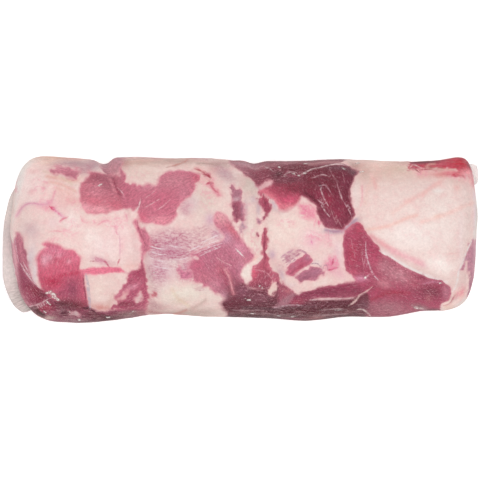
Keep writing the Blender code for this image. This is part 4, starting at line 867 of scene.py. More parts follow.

# Sinews and the white edges of the fat, with two painted highlights among them: colour, half width in mm
# and path
for colour, half_width, path in [
    ("C2AEB8", 1.4, [(-131.8, -31), (-130.6, -38), (-129.9, -44), (-129.4, -50), (-128.6, -60)]),
    ("E4C4CA", 0.5, [(-187, -22), (-184.6, -27), (-181, -32.5), (-177, -37.5), (-173, -41)]),
    ("E4C4CA", 0.5, [(-184.5, -21), (-181.8, -27), (-178, -33), (-173.5, -38)]),
    ("E0B4BE", 0.4, [(-190.4, 0), (-190.2, -9), (-189.4, -18)]),
    ("D8B0B4", 0.5, [(-184, -58.6), (-177, -57.6), (-171, -56.6), (-164, -52.8)]),
    ("D0A8AE", 0.4, [(-180, -60), (-172, -59.4), (-166, -57)]),
    ("D8A08E", 0.7, [(-183.4, -62.4), (-177, -66), (-170, -69)]),
    ("ECD0D0", 0.6, [(-91, 24), (-88.4, 26.4), (-86.6, 29.5), (-85.4, 33)]),
    ("E4B8C0", 0.35, [(-104, 46), (-101, 43), (-99, 38)]),
    ("E0A8B0", 0.3, [(-82, 27), (-76, 30), (-69, 34)]), ("E0A8B0", 0.3, [(-72, 24), (-66, 28), (-60, 33)]),
    ("E0A8B0", 0.3, [(-80, 36), (-76, 38.6), (-73, 41.5)]),
    ("E6CCD2", 0.4, [(-38, -11.6), (-32, -9), (-27, -7), (-22, -5.2), (-16, -3.4)]),
    ("ECDCDE", 0.4, [(-36, -7.6), (-30, -5), (-25, -3.2), (-19, -1)]),
    ("E6CCD2", 0.35, [(-33, -13.4), (-28, -10.6), (-23, -8.6), (-18, -7)]),
    ("ECDCDE", 0.35, [(-31, -1.6), (-26, 0.4), (-20, 3)]),
    ("E8D4DA", 0.35, [(-42, -9), (-37, -6.6), (-32, -3.6)]),
    ("E8D8DC", 0.4, [(-76, -6), (-71, -7.4), (-66, -8)]),
    ("E8D8DC", 0.4, [(-75, -11), (-70, -12.6), (-64, -13)]),
    ("E8D8DC", 0.35, [(-76, -16), (-71, -18), (-66, -18.6)]),
    ("E8D8DC", 0.35, [(-74, -22), (-69, -24), (-63, -24.4)]),
    ("E6D0D6", 0.35, [(-60, -5), (-54, -6.4), (-47, -6)]),
    ("E6D0D6", 0.35, [(-58, -16.6), (-51, -17), (-45, -15.4)]),
    ("E0A8AE", 0.35, [(-18, -16), (-13.6, -19), (-8, -21.6)]),
    ("E0A0A4", 0.4, [(-12.6, -26), (-9.4, -31), (-8.4, -34)]),
    ("DA98A0", 0.45, [(-8.8, -32), (-7.4, -37), (-6.2, -42), (-5, -46)]),
    # Painted highlight: a short white glint line on the film over the big muscle
    ("F0E2E2", 0.5, [(-2, -9), (0, -11), (3, -14)]),
    ("D48C9A", 0.4, [(12, -26), (16, -26.6), (21, -28), (25, -31), (28, -36)]),
    ("D898A4", 0.3, [(14, -24), (19, -25.6), (23, -28)]),
    ("DDC0C2", 0.5, [(52, 56), (56, 57.4), (61, 60), (67, 61.6)]),
    ("DDC4C4", 0.45, [(68, 61.4), (74, 63.4), (80, 64.8), (86, 65.4), (92, 65)]),
    ("CFA6AC", 0.35, [(64, 53.4), (68, 54.6), (72, 55.6), (76, 54)]),
    ("D8B4BA", 0.45, [(69.5, 43), (71, 38.5), (73, 34), (75.6, 29.6)]),
    ("D2A8B0", 0.35, [(68, 33), (71, 30.6), (74, 30.2)]),
    ("D8B4BA", 0.4, [(68.6, 31), (71, 27.6), (73.6, 24), (76.4, 20.6)]),
    ("C890A0", 0.3, [(72, 45), (75, 44.6), (77.6, 41), (79, 39)]),
    ("D0A4AE", 0.35, [(70, 46), (73.4, 46.4), (76, 44)]),
    ("C8929C", 0.3, [(83, 51), (84.6, 45), (86.6, 39)]),
    ("D8B4BA", 0.45, [(86, 40.6), (87.4, 37), (88.6, 34)]),
    ("D2A4AE", 0.35, [(90, 32), (92.6, 28), (95, 24.4), (96.6, 20)]),
    ("D2A4AE", 0.35, [(92.4, 32), (95, 28), (97.4, 24)]), ("B88088", 0.3, [(89, 56), (90.2, 51)]),
    ("B88088", 0.3, [(83, 21), (85.6, 15), (87.6, 11.4)]), ("B88088", 0.3, [(79, 24), (81, 19), (83, 14)]),
    ("C08C94", 0.3, [(78, 60), (80, 55), (83, 51)]),
    ("DCBABC", 0.55, [(62, -53.6), (70, -53), (80, -52.4), (90, -52), (98, -51.4)]),
    # Painted highlight: a long white glint line on the film at the lower edge of the big lean slab
    ("E0B8B4", 0.8, [(113.5, -41.6), (110, -44.6), (106, -47.4), (103, -49), (101.5, -51.6), (99, -54),
                     (95, -56.6)]),
    ("D2B8B4", 0.6, [(102, -60.6), (105, -60.2), (108.6, -62), (111, -64), (113, -66.5)]),
    ("CFB4B2", 0.4, [(105, -61.6), (109, -63.6), (112, -66)]),
    ("D8B4BE", 0.5, [(108.7, -3), (108.6, -9), (109.2, -14), (110.6, -20), (113, -26), (116, -31.4),
                     (119.4, -34.8)]),
    ("C47888", 0.35, [(96, 0), (97, -6), (98.5, -11), (99, -15)]),
    ("CC8896", 0.3, [(104.6, -10), (105.4, -16), (106.6, -22)]),
    ("D8A0AC", 0.4, [(112, -29), (110, -31), (108.6, -33)]),
    ("F0E6E2", 0.9, [(121, -10.6), (125, -13), (130, -15.4), (140, -22), (146, -25.4), (152, -28.4),
                     (158, -31.4), (163, -33.8), (170, -36)]),
    ("ECD4C8", 0.6, [(175, -56), (179, -55.2), (182, -53), (184.8, -49)]),
    ("EEE2E0", 0.8, [(200.5, 0), (196.6, -8), (193.6, -16), (190.6, -23), (188.4, -28), (187.6, -34),
                     (186.8, -39), (185, -45)]),
    ("D8AA9C", 0.4, [(172, 60.9), (178, 60.4), (185, 60.2)]),
    ("D8B4AE", 0.5, [(147, 62), (150, 64.6), (154, 63)]),
    ("C4A4AC", 0.6, [(31, -59), (36, -58.4), (40, -57.4), (46, -57.2), (52, -57.6)]),
    ("C8A8A8", 0.6, [(150, -56.4), (153, -57.6), (157, -59), (161, -60.6)]),
    ("A88488", 0.4, [(70, -61.6), (80, -60.4), (86, -60), (92, -61.4)]),
    ("A88488", 0.4, [(66, -66.6), (78, -65.6), (92, -65)]),
    ("BFA2A6", 0.4, [(21, 63.6), (25, 62.4), (28, 60)]), ("C8A8AC", 0.4, [(40, 57), (44, 58.4), (48, 58)]),
    ("B08488", 0.4, [(5, 65.4), (14, 64.6), (22, 65.4)]),
    ("A88488", 0.4, [(-6, -61), (6, -62), (20, -61.6)]),
    ("A07A80", 0.35, [(20, -64), (34, -65.6), (46, -65)]),
]:
    around.draw_line(0, colour, half_width, path)

# Veins, blood spots and the dark clefts between muscles
for colour, half_width, path in [
    ("DD9CB0", 0.5, [(-189.6, 21), (-187, 26), (-184, 29), (-180, 30.6), (-175, 30.6), (-170, 29.6)]),
    ("E27C98", 0.6, [(-160, 26), (-157, 23.4), (-154, 20.8)]),
    ("D4446E", 1.3, [(-161.8, 27.2), (-160.2, 26.2), (-158.8, 25)]),
    ("E8A0AC", 0.6, [(-136, 18.6), (-134.4, 15), (-131.6, 14.4)]),
    ("E8A0AC", 0.5, [(-121, 13), (-117, 15.4), (-113.6, 16.4)]),
    ("E6A2B0", 0.6, [(-107.6, 13), (-106.4, 8.6), (-105, 4)]),
    ("E6A2B0", 0.5, [(-99, 24), (-97, 20.4), (-96.4, 17)]),
    ("E8A8AE", 0.5, [(-162, 6.6), (-157.4, 7.2), (-153, 6.4)]),
    ("D86C84", 0.5, [(-153.6, 16), (-151.5, 17.5), (-148.6, 18.6)]),
    ("C05874", 0.9, [(-123, -15), (-120.6, -16.6), (-118, -17.6), (-115, -19.4), (-112.6, -22.6)]),
    ("B04860", 0.5, [(-127, -18.4), (-122, -18.4), (-118, -18.6)]),
    ("CC6078", 0.7, [(-102.8, -16.4), (-104.6, -20.6)]),
    ("E0A8B8", 0.4, [(-104, 8), (-102.6, -4), (-103, -14)]),
    ("8E3048", 0.6, [(-186, -20), (-183, -28), (-179, -34.6), (-174, -40)]),
    ("8A3A50", 0.6, [(-134.4, -30), (-133.6, -38), (-132.6, -46), (-131.4, -56)]),
    ("4A2222", 1.2, [(-185, -59.6), (-179, -63.4), (-172.6, -68)]),
    ("4A2A28", 0.9, [(-179, -58.6), (-175.6, -59.6), (-174, -62), (-171, -65), (-166, -67.4)]),
    ("3E1420", 1.0, [(-133.6, -60), (-128, -61.5), (-124.6, -63.6)]),
    ("9E4C60", 0.6, [(-88, 16), (-86.6, 8), (-84, 2), (-82, -3)]),
    ("9A4258", 0.7, [(-84.5, -20), (-83.5, -26), (-82, -32), (-81, -42)]),
    ("C07080", 0.5, [(-76, -2), (-73, -6), (-70, -8)]),
    ("C07080", 0.4, [(-76, -13), (-72, -15), (-68, -14)]),
    ("B0928A", 0.4, [(-34, 66), (-27, 66.4), (-18, 65.6)]),
    ("C08078", 0.5, [(-62, 62.5), (-54, 64.5), (-48, 66.4), (-45, 69.5)]),
    ("B8505A", 0.7, [(-37.6, 61), (-34, 59.6), (-30, 57.4)]),
    ("A8384A", 0.9, [(-30, 55.6), (-27, 55.4), (-25, 53), (-24, 51)]),
    ("C04A60", 0.9, [(-27.6, 47.6), (-25.4, 49), (-23.6, 48.6)]),
    ("CC6878", 0.6, [(-24, 45), (-21.6, 42), (-19.4, 40.4)]),
    ("8A3A4E", 0.7, [(20.5, 40), (21.5, 34), (21.8, 28), (21.5, 22)]),
    ("8E3C52", 0.7, [(21, 8), (21.5, 0), (20.8, -8), (22, -16), (21, -24)]),
    ("7A3448", 0.6, [(32.6, -38), (33, -43), (32.5, -48)]),
    ("5E1C2C", 1.0, [(55.5, 40.5), (59, 38.4), (62, 36), (65, 33), (68, 30.5)]),
    ("561C2C", 0.6, [(65, 50), (69, 47.6), (70.4, 43)]), ("5E2434", 0.5, [(67, 53), (71, 52.8), (75, 51)]),
    ("C48EA0", 1.0, [(36.6, -14.6), (41.5, -11.6), (46.5, -9)]),
    ("B6748A", 1.3, [(38, -17.6), (43.6, -14), (49, -10.4), (53, -9.2)]),
    ("B6748A", 1.2, [(39.4, -20), (44, -16.8), (49, -13.6), (52, -12)]),
    ("C088A0", 0.9, [(41, -21.6), (44.6, -19.4), (47.6, -17.6)]),
    ("B0708A", 0.9, [(53, -9.6), (55.6, -11), (58, -13)]),
    ("A88090", 0.4, [(62, -21), (66, -20.6), (69, -22.5), (70.5, -24.6), (71, -27)]),
    ("A88090", 0.4, [(71, -23), (73.5, -22.2), (75.5, -23), (75.6, -25.5)]),
    ("E08098", 0.5, [(51.4, 30.4), (54, 27), (57.6, 24), (61, 19.6)]),
    ("E68CA0", 0.5, [(56, 29), (60, 25), (64, 20)]), ("E890A2", 0.4, [(60, 30), (63.4, 26.6), (66, 22.6)]),
    ("E48CA2", 0.45, [(56, 21), (59.4, 18.6), (62, 17.4)]), ("D890A4", 0.45, [(76.4, 7), (77, 1)]),
    ("DC7090", 0.6, [(67.8, 15.6), (68.2, 12.6)]), ("C04068", 0.55, [(80.4, -18), (80, -21), (78.6, -23)]),
    ("C04068", 0.5, [(76.6, -26.6), (79, -26), (83, -24.8)]), ("E090B0", 0.5, [(61.4, -1), (62.6, -4)]),
    ("6E3040", 0.7, [(57, -58), (66, -57), (80, -56), (94, -56)]),
    ("6A3844", 0.6, [(60, -61.6), (74, -62.6), (90, -62.6)]),
    ("6A3C46", 0.6, [(96, -59), (104, -57.4), (110, -59)]),
    ("C06A80", 0.5, [(177, -56.5), (181, -55), (183.5, -53), (186.5, -50)]),
    ("C88098", 0.4, [(159, -38.5), (166, -38), (173, -38.8)]),
    ("96404C", 0.5, [(196.5, 66), (200, 63.4), (202.6, 60), (203.6, 57)]),
    ("DDB8B4", 0.4, [(194.5, -30), (194.5, -40), (193.5, -48)]),
    ("7A1E30", 0.8, [(148, 66.6), (156, 67.4), (168, 67.6)]),
    ("962C44", 0.6, [(146, 62.4), (150, 61), (154, 58)]),
    ("B03A50", 0.6, [(156, 60), (160, 60.6), (164, 61)]),
]:
    around.draw_line(1, colour, half_width, path)

# The underside, the way a picnic looks from its cap side: broad lean between slabs of fat
middle_mm = 1000 * (meat.points - BOX_SHIFT)
under = MeatFace(middle_mm[:, :2], flesh="9E5468", fat="E6CFC8")
under.lay_lean("A05068", [
    (-188, -50), (-150, -66), (-96, -64), (-70, -50), (-84, -24), (-124, -10), (-170, -6), (-196, -20)],
    grain=10, ragged=0.9)
under.lay_lean("96485C", [
    (-118, 66), (-70, 70), (-20, 68), (-12, 46), (-30, 24), (-66, 18), (-100, 26), (-122, 44)],
    grain=30, ragged=0.9)
under.lay_lean("8C4256", [
    (-14, -60), (30, -68), (90, -66), (112, -52), (100, -28), (54, -16), (10, -22), (-12, -38)],
    grain=4, ragged=0.7)
under.lay_lean("9C4A60", [
    (0, 64), (46, 70), (96, 68), (112, 52), (96, 28), (56, 16), (20, 22), (4, 40)], grain=-14, ragged=0.8)
under.lay_lean("A44E64", [
    (122, -60), (160, -62), (178, -46), (170, -20), (138, -8), (118, -26)], grain=-30, ragged=0.7)
under.lay_lean("A2505E", [
    (140, 60), (176, 64), (196, 52), (186, 30), (154, 28), (136, 42)], grain=20, ragged=0.9)
for colour, half_width, path in [
    ("D8BCC0", 1.2, [(-176, -12), (-130, -20), (-92, -34), (-74, -48)]),
    ("D8C0C4", 1.1, [(6, 46), (40, 40), (80, 40), (106, 46)]),
    ("D0B0B8", 1.0, [(0, -46), (40, -40), (84, -44), (108, -50)]),
]:
    under.draw_line(0, colour, half_width, path)
for x, y, reach in [(-40, 0, 30), (128, 22, 26), (-150, 30, 26)]:
    under.tint("fat", "EEDDD4", 0.8, x, y, reach, 0.7 * reach)

# The two end faces, drawn in mm across and up
end_places = middle_mm[:, 1:]
left_face = MeatFace(end_places, flesh="A8566C", fat="E4CAC4")
left_face.lay_lean("A8586E", [
    (15, 20), (14, 44), (8, 60), (-12, 74), (-40, 76), (-64, 60), (-70, 30), (-56, 8), (-20, 4), (2, 8)],
    grain=35, ragged=0.8)
left_face.lay_fat("DCC6C8", [(-20, 30), (-12, 44), (-26, 58), (-38, 52), (-34, 36)], soft=1.4, ragged=1.2)
left_face.lay_lean("A85E70", [(44, 20), (58, 26), (60, 44), (46, 50), (34, 38)], grain=-20, ragged=1.0)
left_face.tint("fat", "D8BCB4", 0.6, 40, 70, 30, 12)
left_face.tint("flesh", "DEA0AC", 0.9, -18, 72, 50, 18)
right_face = MeatFace(end_places, flesh="A8566C", fat="EAD6CE")
right_face.lay_lean("A85A72", [
    (-70, 52), (-60, 68), (-40, 80), (-18, 80), (0, 70), (12, 56), (20, 36), (18, 16), (4, 2), (-22, -4),
    (-56, -2), (-74, 20)], grain=30, soft=1.4, ragged=1.0)
right_face.lay_lean("9C4E66", [
    (30, 6), (40, 16), (56, 22), (74, 20), (76, 4), (58, -4), (40, -4)], grain=-30, soft=1.2, ragged=1.0)
right_face.draw_line(0, "E0C4CA", 1.1, [(-66, 34), (-44, 30), (-24, 34), (-6, 26), (12, 24)])
right_face.lay_lean("B04858", [
    (78, 76), (54, 74), (46, 60), (56, 44), (72, 34), (82, 50)], grain=-30, soft=1.6, ragged=1.0)
right_face.tint("fat", "ECDAD2", 0.5, 30, 56, 20, 24)
right_face.tint("flesh", "E8B4C0", 0.95, -16, 78, 46, 16)

# Each face's share: the end faces from where the surface has turned far enough towards the end, in
# degrees, and the underside from just above the table, in metres
END_FACE_TURN = (50, 64)
UNDERSIDE_LEVEL = (0.009, 0.002)
turned_to_end = smooth_step(*END_FACE_TURN, meat.turn)
on_left = np.where(meat.end < 0, turned_to_end, 0.0)
on_right = np.where(meat.end > 0, turned_to_end, 0.0)
on_under = smooth_step(*UNDERSIDE_LEVEL, meat.points[:, 2]) * (1 - on_left - on_right)
shares = (1 - on_left - on_right - on_under, on_left, on_right, on_under)
faces = (around, left_face, right_face, under)


def joined(name):
    """One painted value over the whole meat, each face taking its share."""
    values = [getattr(face, name) for face in faces]
    if values[0].ndim == 2:
        return sum(value * share[:, None] for value, share in zip(values, shares))
    return sum(value * share for value, share in zip(values, shares))


# Relief of the real surface, in mm: lean lies a little lower than the fat that frames it, fat
# rolls up into a lip at its edge, sinews stand proud and fibres run as fine ridges
LEAN_SINK = 0.35
SINK_BAND = 2.2
LIP_HEIGHT = 0.10
LIP_OUTSIDE = 1.9
LIP_WIDTH = 1.5
LINE_HEIGHTS = (0.16, -0.16)
LINE_SPREAD = 0.4
LINE_ROUNDING = 1.1
FIBRE_HEIGHT = 0.07
FIBRE_DEPTH = (0, 1.5)
FIBRE_RIDGE = (7.0, 1.6)
FIBRE_SEED = (2.0, 8.0, 5.0)
SOFT_LUMPS = [(0.0110, 0.28, (5.0, 1.0, 2.0)), (0.0045, 0.10, (9.0, 4.0, 7.0))]
lean = joined("lean")
rise = -LEAN_SINK * smooth_step(-SINK_BAND, SINK_BAND, lean)
rise += LIP_HEIGHT * np.exp(-((lean + LIP_OUTSIDE) / LIP_WIDTH)**2)
for layer, line_height in enumerate(LINE_HEIGHTS):
    drawn = np.clip(around.line_width[layer] + LINE_SPREAD, 0.0, 1.0)
    drawn *= np.exp(-(around.line_side[layer] / LINE_ROUNDING)**2)
    rise += line_height * drawn * shares[0]
for size, height, seed in SOFT_LUMPS:
    rise += height * noise_at(meat.points, size, seed)
fibre_places = np.column_stack((joined("fibres") / FIBRE_RIDGE, np.zeros(len(lean))))
rise += FIBRE_HEIGHT * noise_at(fibre_places, 1.0, FIBRE_SEED) * smooth_step(*FIBRE_DEPTH, lean)
normals = place_points(meat_mesh, meat.points)
meat_points = meat.points + normals * (0.001 * rise - UNDER_FILM)[:, None]
meat_points[:, 2] = np.maximum(meat_points[:, 2], UNDER_FILM)
place_points(meat_mesh, meat_points)

# The studio light is a little over white, so colours read in it belong to a darker surface, but
# the sloping sides get less of it, and a colour read there belongs to a paler one
SEEN_TO_SURFACE = 0.86
SLOPE_LIFT = 0.42
LIFT_NONE = 0.85
LIFT_FULL = 0.20
PALEST = 0.90
lift = 1 + SLOPE_LIFT * smooth_step(LIFT_NONE, LIFT_FULL, normals[:, 2])


def surface_colour(seen):
    """The surface's own colour where a colour is seen in the studio light, with its alpha."""
    surface = np.minimum(seen * SEEN_TO_SURFACE * lift[:, None], PALEST)
    return np.column_stack((surface, np.ones(len(surface))))


def keep_value(mesh, name, values):
    """Stores a number, a place or a colour for each point of the mesh, for its material to read."""
    columns = 1 if values.ndim == 1 else values.shape[1]
    kinds = {1: ("FLOAT", "value"), 3: ("FLOAT_VECTOR", "vector"), 4: ("FLOAT_COLOR", "color")}
    kind, field = kinds[columns]
    stored = mesh.attributes.new(name, kind, "POINT")
    stored.data.foreach_set(field, np.ascontiguousarray(values, dtype=np.float32).ravel())


for name in ("lean", "soft", "ragged", "veil", "blush", "fleck"):
    keep_value(meat_mesh, name, joined(name))
for name in ("flesh", "fat"):
    keep_value(meat_mesh, name, surface_colour(joined(name)))
keep_value(meat_mesh, "fibres", np.column_stack((joined("fibres"), middle_mm[:, 2])))
for layer, name in enumerate(("sinew", "vein")):
    keep_value(meat_mesh, name + "_side", around.line_side[layer])
    keep_value(meat_mesh, name + "_width", around.line_width[layer] * shares[0] + NO_LINE * (1 - shares[0]))
    keep_value(meat_mesh, name + "_colour", surface_colour(around.line_colour[layer]))

# The long sides, in mm across the log and on down: where they start, and where they grow plainer
FRONT_FLANK = (52, 68)
BACK_FLANK = (61, 74)
PLAIN_FLANK = (76, 90)
PLAIN_LOSS = 0.5
across_log = meat.wrap[:, 1]
down_sides = smooth_step(*FRONT_FLANK, -across_log) + smooth_step(*BACK_FLANK, across_log)
down_sides *= 1 - PLAIN_LOSS * smooth_step(*PLAIN_FLANK, np.abs(across_log))
keep_value(meat_mesh, "flank", down_sides)


def in_scene(name, data):
    """A new object in the scene, with its mesh, lamp or camera."""
    made = bpy.data.objects.new(name, data)
    bpy.context.scene.collection.objects.link(made)
    return made


pork_shoulder = in_scene("pork_shoulder", meat_mesh)


def new_material(name):
    """A material with its node tree and its shader."""
    material = bpy.data.materials.new(name)
    material.use_nodes = True
    return material, material.node_tree, material.node_tree.nodes["Principled BSDF"]


def fill(node, inputs):
    """Sets each of a node's inputs to a constant, or links it to another node's output."""
    for socket, value in inputs.items():
        if isinstance(value, bpy.types.NodeSocket):
            node.id_data.links.new(value, node.inputs[socket])
        else:
            node.inputs[socket].default_value = value


def add(tree, kind, inputs, output=0, **settings):
    """Adds a shader node with its settings and links, and gives back one of its outputs."""
    made = tree.nodes.new("ShaderNode" + kind)
    for name, value in settings.items():
        setattr(made, name, value)
    fill(made, inputs)
    return made.outputs[output]


def opaque(code):
    """A hex colour as a socket takes it."""
    return (*to_linear(code), 1.0)


# Raw pork: wet muscle and firm fat. Muscle scatters light in a rose red that deepens where it
# is thick and shows its fibres as fine streaks; fat is nearly white, mottled and a little pink.
pork, tree, skin = new_material("raw_pork_fat_and_lean")
place = add(tree, "TexCoord", {}, output="Object")
in_mm = add(tree, "VectorMath", {0: place, "Scale": 1000.0}, operation="SCALE")

# What each point carries, read back by its name
kept = {}
for output, names in {
    "Fac": ("lean", "soft", "ragged", "veil", "blush", "fleck", "flank",
            "sinew_side", "sinew_width", "vein_side", "vein_width"),
    "Color": ("flesh", "fat", "sinew_colour", "vein_colour"),
    "Vector": ("fibres",),
}.items():
    for name in names:
        kept[name] = add(tree, "Attribute", {}, output=output, attribute_name=name)

# Settings that many nodes share. A map range takes a value from the range between inputs 1 and 2,
# or 0 to 1, to the one between 3 and 4; a mix of colours goes from 6 to 7 by the share in 0.
COLOURS = {"output": 2, "data_type": "RGBA"}
SMOOTH = {"interpolation_type": "SMOOTHSTEP"}

# Where fat meets lean the border wanders and frays, here sharp and there soft
WANDER_MM = 4.5
FRAY_MM = 8.5
SHARPNESS_MM = 9.0
wander = add(tree, "TexNoise", {"Vector": in_mm, "Scale": 1 / WANDER_MM, "Detail": 2.0, "Roughness": 0.5})
wander = add(tree, "Math", {0: wander, 1: -0.5}, operation="ADD")
reach = add(tree, "Math", {0: kept["ragged"], 1: FRAY_MM}, operation="MULTIPLY")
depth = add(tree, "Math", {0: wander, 1: reach, 2: kept["lean"]}, operation="MULTIPLY_ADD")
blur = add(tree, "TexNoise", {"Vector": in_mm, "Scale": 1 / SHARPNESS_MM, "Detail": 1.0})
blur = add(tree, "MapRange", {0: blur, 1: 0.35, 2: 0.65, 3: 0.6, 4: 1.7})
blur = add(tree, "Math", {0: blur, 1: kept["soft"]}, operation="MULTIPLY")
outer = add(tree, "Math", {0: blur, 1: -1.0}, operation="MULTIPLY")
lean_share = add(tree, "MapRange", {0: depth, 1: outer, 2: blur}, **SMOOTH)

# Muscle: streaks along the fibres, soft mottling, a little pale marbling and painted glints on the wet lean
FIBRE_PER_MM = (0.17, 1.15, 0.50)
MOTTLE_MM = 2.0
MARBLING_PER_MM = (0.30, 0.80, 0.60)
LEAN_GLINT_MM = 0.9
along_fibres = add(tree, "VectorMath", {0: kept["fibres"], 1: FIBRE_PER_MM}, operation="MULTIPLY")
fibre = add(tree, "TexNoise", {"Vector": along_fibres, "Scale": 1.0, "Detail": 4.0, "Roughness": 0.66})
mottle = add(tree, "TexNoise", {"Vector": in_mm, "Scale": 1 / MOTTLE_MM, "Detail": 4.0, "Roughness": 0.76})
along_marbling = add(tree, "VectorMath", {0: kept["fibres"], 1: MARBLING_PER_MM}, operation="MULTIPLY")
marbling = add(tree, "TexNoise", {"Vector": along_marbling, "Scale": 1.0, "Detail": 3.0, "Roughness": 0.65,
                                  "Distortion": 0.8})
streaked = add(tree, "MapRange", {0: fibre, 1: 0.36, 2: 0.64, 3: 0.86, 4: 1.14})
mottled = add(tree, "MapRange", {0: mottle, 1: 0.36, 2: 0.64, 3: 0.82, 4: 1.18})
strength = add(tree, "Math", {0: streaked, 1: mottled}, operation="MULTIPLY")
wetter = add(tree, "MapRange", {0: kept["fleck"], 3: 1.0, 4: 0.90})
strength = add(tree, "Math", {0: strength, 1: wetter}, operation="MULTIPLY")
flesh = add(tree, "VectorMath", {0: kept["flesh"], "Scale": strength}, operation="SCALE")
marbled = add(tree, "MapRange", {0: marbling, 1: 0.52, 2: 0.70, 3: 0.0, 4: 0.24}, **SMOOTH)
many = add(tree, "MapRange", {0: kept["fleck"], 3: 0.7, 4: 1.9})
marbled = add(tree, "Math", {0: marbled, 1: many}, operation="MULTIPLY")
flesh = add(tree, "Mix", {0: marbled, 6: flesh, 7: opaque("E8AEB8")}, **COLOURS)
# Painted highlights: tiny pale glints over the lean where it is flecked
painted_lean_glints = add(tree, "TexNoise", {"Vector": in_mm, "Scale": 1 / LEAN_GLINT_MM, "Detail": 1.0})
painted_lean_glints = add(tree, "MapRange", {0: painted_lean_glints, 1: 0.56, 2: 0.72, 3: 0.0, 4: 0.40})
painted_lean_glints = add(tree, "Math", {0: painted_lean_glints, 1: kept["fleck"]}, operation="MULTIPLY")
flesh = add(tree, "Mix", {0: painted_lean_glints, 6: flesh, 7: opaque("DC98A6")}, **COLOURS)
thinned = add(tree, "MapRange", {0: depth, 1: 0.0, 2: 2.4, 3: 0.28, 4: 0.0}, **SMOOTH)
flesh = add(tree, "Mix", {0: thinned, 6: flesh, 7: opaque("DE8E9C")}, **COLOURS)

# Fat: pink and white clouds, blood that has soaked in, and lean that shows through thin places
CLOUD_MM = 7.0
GRAIN_MM = 1.7
BLUSH_MM = 3.4
VEIL_MM = 1.5
VEIL_STRETCH = (0.48, 1.0, 1.0)
cloud = add(tree, "TexNoise", {"Vector": in_mm, "Scale": 1 / CLOUD_MM, "Detail": 5.0, "Roughness": 0.66})
pinker = add(tree, "MapRange", {0: cloud, 1: 0.48, 2: 0.66, 3: 0.0, 4: 0.20})
whiter = add(tree, "MapRange", {0: cloud, 1: 0.34, 2: 0.50, 3: 0.16, 4: 0.0})
fat = add(tree, "Mix", {0: pinker, 6: kept["fat"], 7: opaque("E09CA2")}, **COLOURS)
fat = add(tree, "Mix", {0: whiter, 6: fat, 7: opaque("F8EAE6")}, **COLOURS)
grain = add(tree, "TexNoise", {"Vector": in_mm, "Scale": 1 / GRAIN_MM, "Detail": 3.0, "Roughness": 0.7})
grain = add(tree, "MapRange", {0: grain, 1: 0.34, 2: 0.66, 3: 0.94, 4: 1.06})
fat = add(tree, "VectorMath", {0: fat, "Scale": grain}, operation="SCALE")
soaked = add(tree, "TexNoise", {"Vector": in_mm, "Scale": 1 / BLUSH_MM, "Detail": 4.0, "Roughness": 0.68,
                                "Distortion": 0.6})
soaked = add(tree, "Math", {0: kept["blush"], 1: 0.16, 2: soaked}, operation="MULTIPLY_ADD")
soaked = add(tree, "MapRange", {0: soaked, 1: 0.53, 2: 0.70, 3: 0.0, 4: 0.9}, **SMOOTH)
soaked = add(tree, "Math", {0: soaked, 1: kept["blush"]}, operation="MULTIPLY")
fat = add(tree, "Mix", {0: soaked, 6: fat, 7: opaque("DA7C98")}, **COLOURS)
stretched = add(tree, "VectorMath", {0: in_mm, 1: VEIL_STRETCH}, operation="MULTIPLY")
thin = add(tree, "TexNoise", {"Vector": stretched, "Scale": 1 / VEIL_MM, "Detail": 4.0, "Roughness": 0.7})
thin = add(tree, "MapRange", {0: thin, 1: 0.40, 2: 0.62, 3: 0.18, 4: 1.0})
thin = add(tree, "Math", {0: thin, 1: kept["veil"]}, operation="MULTIPLY")
fat = add(tree, "Mix", {0: thin, 6: fat, 7: opaque("AC5C76")}, **COLOURS)
stained = add(tree, "MapRange", {0: depth, 1: -2.6, 2: 0.0, 3: 0.0, 4: 0.24}, **SMOOTH)
fat = add(tree, "Mix", {0: stained, 6: fat, 7: opaque("DC8C9A")}, **COLOURS)
colour = add(tree, "Mix", {0: lean_share, 6: fat, 7: flesh}, **COLOURS)

# Down the sides, long streaks along the log: dark where a little liquid stands under the film, and pale
# where the creased film is given a painted highlight
STREAKS_PER_MM = (0.17, 0.80, 0.80)
streak_vector = add(tree, "VectorMath", {0: in_mm, 1: STREAKS_PER_MM}, operation="MULTIPLY")
purge_and_sheen = add(tree, "TexNoise", {"Vector": streak_vector, "Scale": 1.0, "Detail": 4.0, "Roughness": 0.78})
deeper = add(tree, "MapRange", {0: purge_and_sheen, 1: 0.38, 2: 0.51, 3: 0.72, 4: 0.0})
on_lean = add(tree, "MapRange", {0: lean_share, 3: 0.3, 4: 1.0})
on_lean = add(tree, "Math", {0: on_lean, 1: kept["flank"]}, operation="MULTIPLY")
deeper = add(tree, "Math", {0: deeper, 1: on_lean}, operation="MULTIPLY")
# Painted highlight: pale greyish streaks of the creased film down the sides
pale_sheen_streaks = add(tree, "MapRange", {0: purge_and_sheen, 1: 0.53, 2: 0.65, 3: 0.0, 4: 0.42})
pale_sheen_streaks = add(tree, "Math", {0: pale_sheen_streaks, 1: on_lean}, operation="MULTIPLY")
colour = add(tree, "Mix", {0: deeper, 6: colour, 7: opaque("7A5058")}, blend_type="MULTIPLY", **COLOURS)
colour = add(tree, "Mix", {0: pale_sheen_streaks, 6: colour, 7: opaque("CBAAA6")}, **COLOURS)

